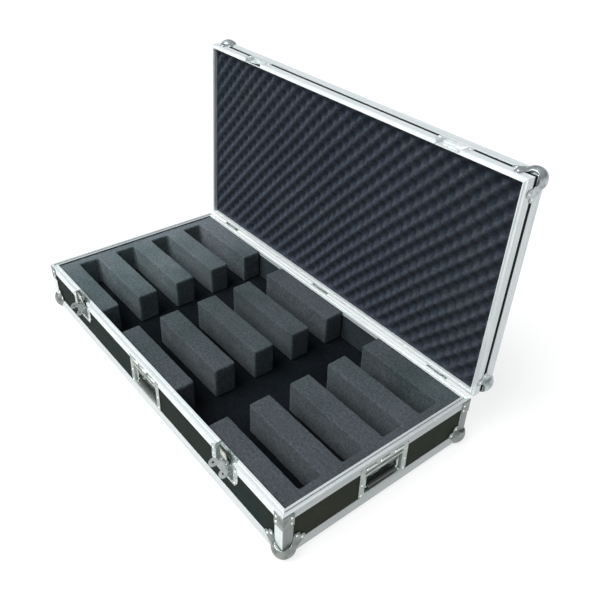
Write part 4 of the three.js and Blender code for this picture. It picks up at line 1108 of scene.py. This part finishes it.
# Degrees from which an edge is eased, degrees within which facets are flat, and the weld
EASED_FROM = 28
FLAT_WITHIN = 1
WELD_WITHIN = 0.01


def ease_edges(node, width):
    """Joins a node's flat facets and rounds its edges."""
    modifier(node, "WELD", merge_threshold=WELD_WITHIN * MM)
    modifier(
        node, "DECIMATE", decimate_type="DISSOLVE",
        angle_limit=math.radians(FLAT_WITHIN), delimit={"MATERIAL"},
    )
    modifier(
        node, "BEVEL", width=width * MM, segments=EASED_SEGMENTS, limit_method="ANGLE",
        angle_limit=math.radians(EASED_FROM), miter_outer="MITER_ARC",
    )


def finish_cad_nodes():
    for name, node in frame["nodes"].items():
        family = next((key for key in FINISHES if name.startswith(key)), None)
        if family is None:
            continue
        node.data.materials.clear()
        node.data.materials.append(FINISHES[family])
        if family in FACE_SHADES_AND_LINING:
            finish, facing = FACE_SHADES_AND_LINING[family]
            node.data.materials.append(finish)
            for polygon in node.data.polygons:
                # Faces towards the right get their painted shade or painted reflection here
                polygon.material_index = int(polygon.normal.dot(facing) > FACING)
        if family in ("lid_rim", "lid_edge_frame"):
            # The lid frames' short sides take the upright aluminium: lines along the open lid's
            # sides, and a darker tone as painted shade
            node.data.materials.append(ALUMINIUM_Z)
            side_starts = (HALF_X - LID_SIDE_WIDTH) * MM
            for polygon in node.data.polygons:
                polygon.material_index = int(abs(polygon.center.x) > side_starts)
        eased = next((width for key, width in EASED.items() if name.startswith(key)), None)
        if eased is not None:
            ease_edges(node, eased)


# Rivets of the latches and catches, from each latch's middle and above the floor panel
LATCH_RIVETS = [("base", 43, 112), ("base", 37.84, 72), ("lid", 43, 154.6)]
LATCH_RIVET_RADIUS = 3.3

# Rivets of the hinges, with the heights of the middle one and of the outer ones
HINGE_PLACES = (-454, 0, 454)
HINGE_RIVETS_X = 22
HINGE_RIVET_HEIGHTS = {"base": (96, 86), "lid": (156, 166)}
HINGE_RIVET_RADIUS = 3.0
HINGE_RIVET_PROUD = 1.2
LEAF_FACE = HALF_Y + 1.9


def fastener_rivets():
    for latch_x in LATCH_PLACES.values():
        for sign in (-1, 1):
            for body, x, height in LATCH_RIVETS:
                centre = (latch_x + sign * x, -HALF_Y, height)
                rivet(body, centre, (0, -1, 0), LATCH_RIVET_RADIUS)
    for hinge_x in HINGE_PLACES:
        for x in (-HINGE_RIVETS_X, 0, HINGE_RIVETS_X):
            for body, heights in HINGE_RIVET_HEIGHTS.items():
                centre = (hinge_x + x, LEAF_FACE, heights[x != 0])
                rivet(body, centre, (0, 1, 0), HINGE_RIVET_RADIUS, HINGE_RIVET_PROUD)


def build_rivets():
    for body, parts in rivets.items():
        piece = mesh_piece(f"{body}_rivets", *merged(parts), RIVET)
        if body == "lid":
            open_lid(piece)
        attach(piece, body, "zinc_steel")


# Camera, light and floor


def towards(azimuth, elevation):
    """Unit vector towards a place seen at two angles in degrees; azimuth 0 is the front."""
    azimuth, elevation = math.radians(azimuth), math.radians(elevation)
    return Vector((
        math.sin(azimuth) * math.cos(elevation),
        -math.cos(azimuth) * math.cos(elevation),
        math.sin(elevation),
    ))


def camera():
    roll = math.radians(CAMERA_ROLL)
    back = towards(CAMERA_AZIMUTH, CAMERA_ELEVATION)
    right = Vector((0, 0, 1)).cross(back).normalized()
    up = back.cross(right)
    turned_right = math.cos(roll) * right + math.sin(roll) * up
    turned_up = math.cos(roll) * up - math.sin(roll) * right
    data = bpy.data.cameras.new("camera")
    data.sensor_width = CAMERA_SENSOR
    data.lens = CAMERA_LENS
    data.shift_x, data.shift_y = CAMERA_SHIFT
    made = bpy.data.objects.new("camera", data)
    rotation = Matrix((turned_right, turned_up, back)).transposed().to_4x4()
    made.matrix_world = Matrix.Translation(CAMERA_TARGET + back * CAMERA_DISTANCE) @ rotation
    bpy.context.scene.collection.objects.link(made)
    bpy.context.scene.camera = made


def soft_sun():
    """A very wide light from the front, a little from the left, as from a large ceiling panel."""
    data = bpy.data.lights.new("soft_sun", "SUN")
    data.energy = SUN_ENERGY
    data.angle = math.radians(SUN_WIDTH)
    light = bpy.data.objects.new("soft_sun", data)
    sunwards = towards(SUN_AZIMUTH, SUN_ELEVATION)
    light.rotation_euler = sunwards.to_track_quat("Z", "Y").to_euler()
    bpy.context.scene.collection.objects.link(light)


def studio():
    """A sky that is white at the horizon, the soft sun and the floor."""
    world = bpy.data.worlds.new("studio")
    world.use_nodes = True
    tree = world.node_tree
    place = tree.nodes.new("ShaderNodeTexCoord")
    parts = tree.nodes.new("ShaderNodeSeparateXYZ")
    ramp = tree.nodes.new("ShaderNodeValToRGB")
    ramp.color_ramp.elements[0].color = (*SKY_RIM, 1)
    ramp.color_ramp.elements.new(SKY_LOW_HEIGHT).color = (*SKY_LOW, 1)
    ramp.color_ramp.elements[-1].color = (*SKY_HIGH, 1)
    tree.links.new(place.outputs["Generated"], parts.inputs["Vector"])
    tree.links.new(parts.outputs["Z"], ramp.inputs["Fac"])
    tree.links.new(ramp.outputs["Color"], tree.nodes["Background"].inputs["Color"])
    bpy.context.scene.world = world
    soft_sun()
    low = (-FLOOR_HALF, -FLOOR_HALF, FLOOR_TOP - FLOOR_THICKNESS)
    high = (FLOOR_HALF, FLOOR_HALF, FLOOR_TOP)
    floor = mesh_piece("floor", *box_mesh(low, high), floor_finish(), smooth=False)
    bpy.context.scene.view_settings.view_transform = "Standard"


ball_corners()
corner_braces()
base_foam()
lid_foam()
handles()
latch_hook_ribs()
latch_lips()
finish_cad_nodes()
fastener_rivets()
build_rivets()
camera()
studio()
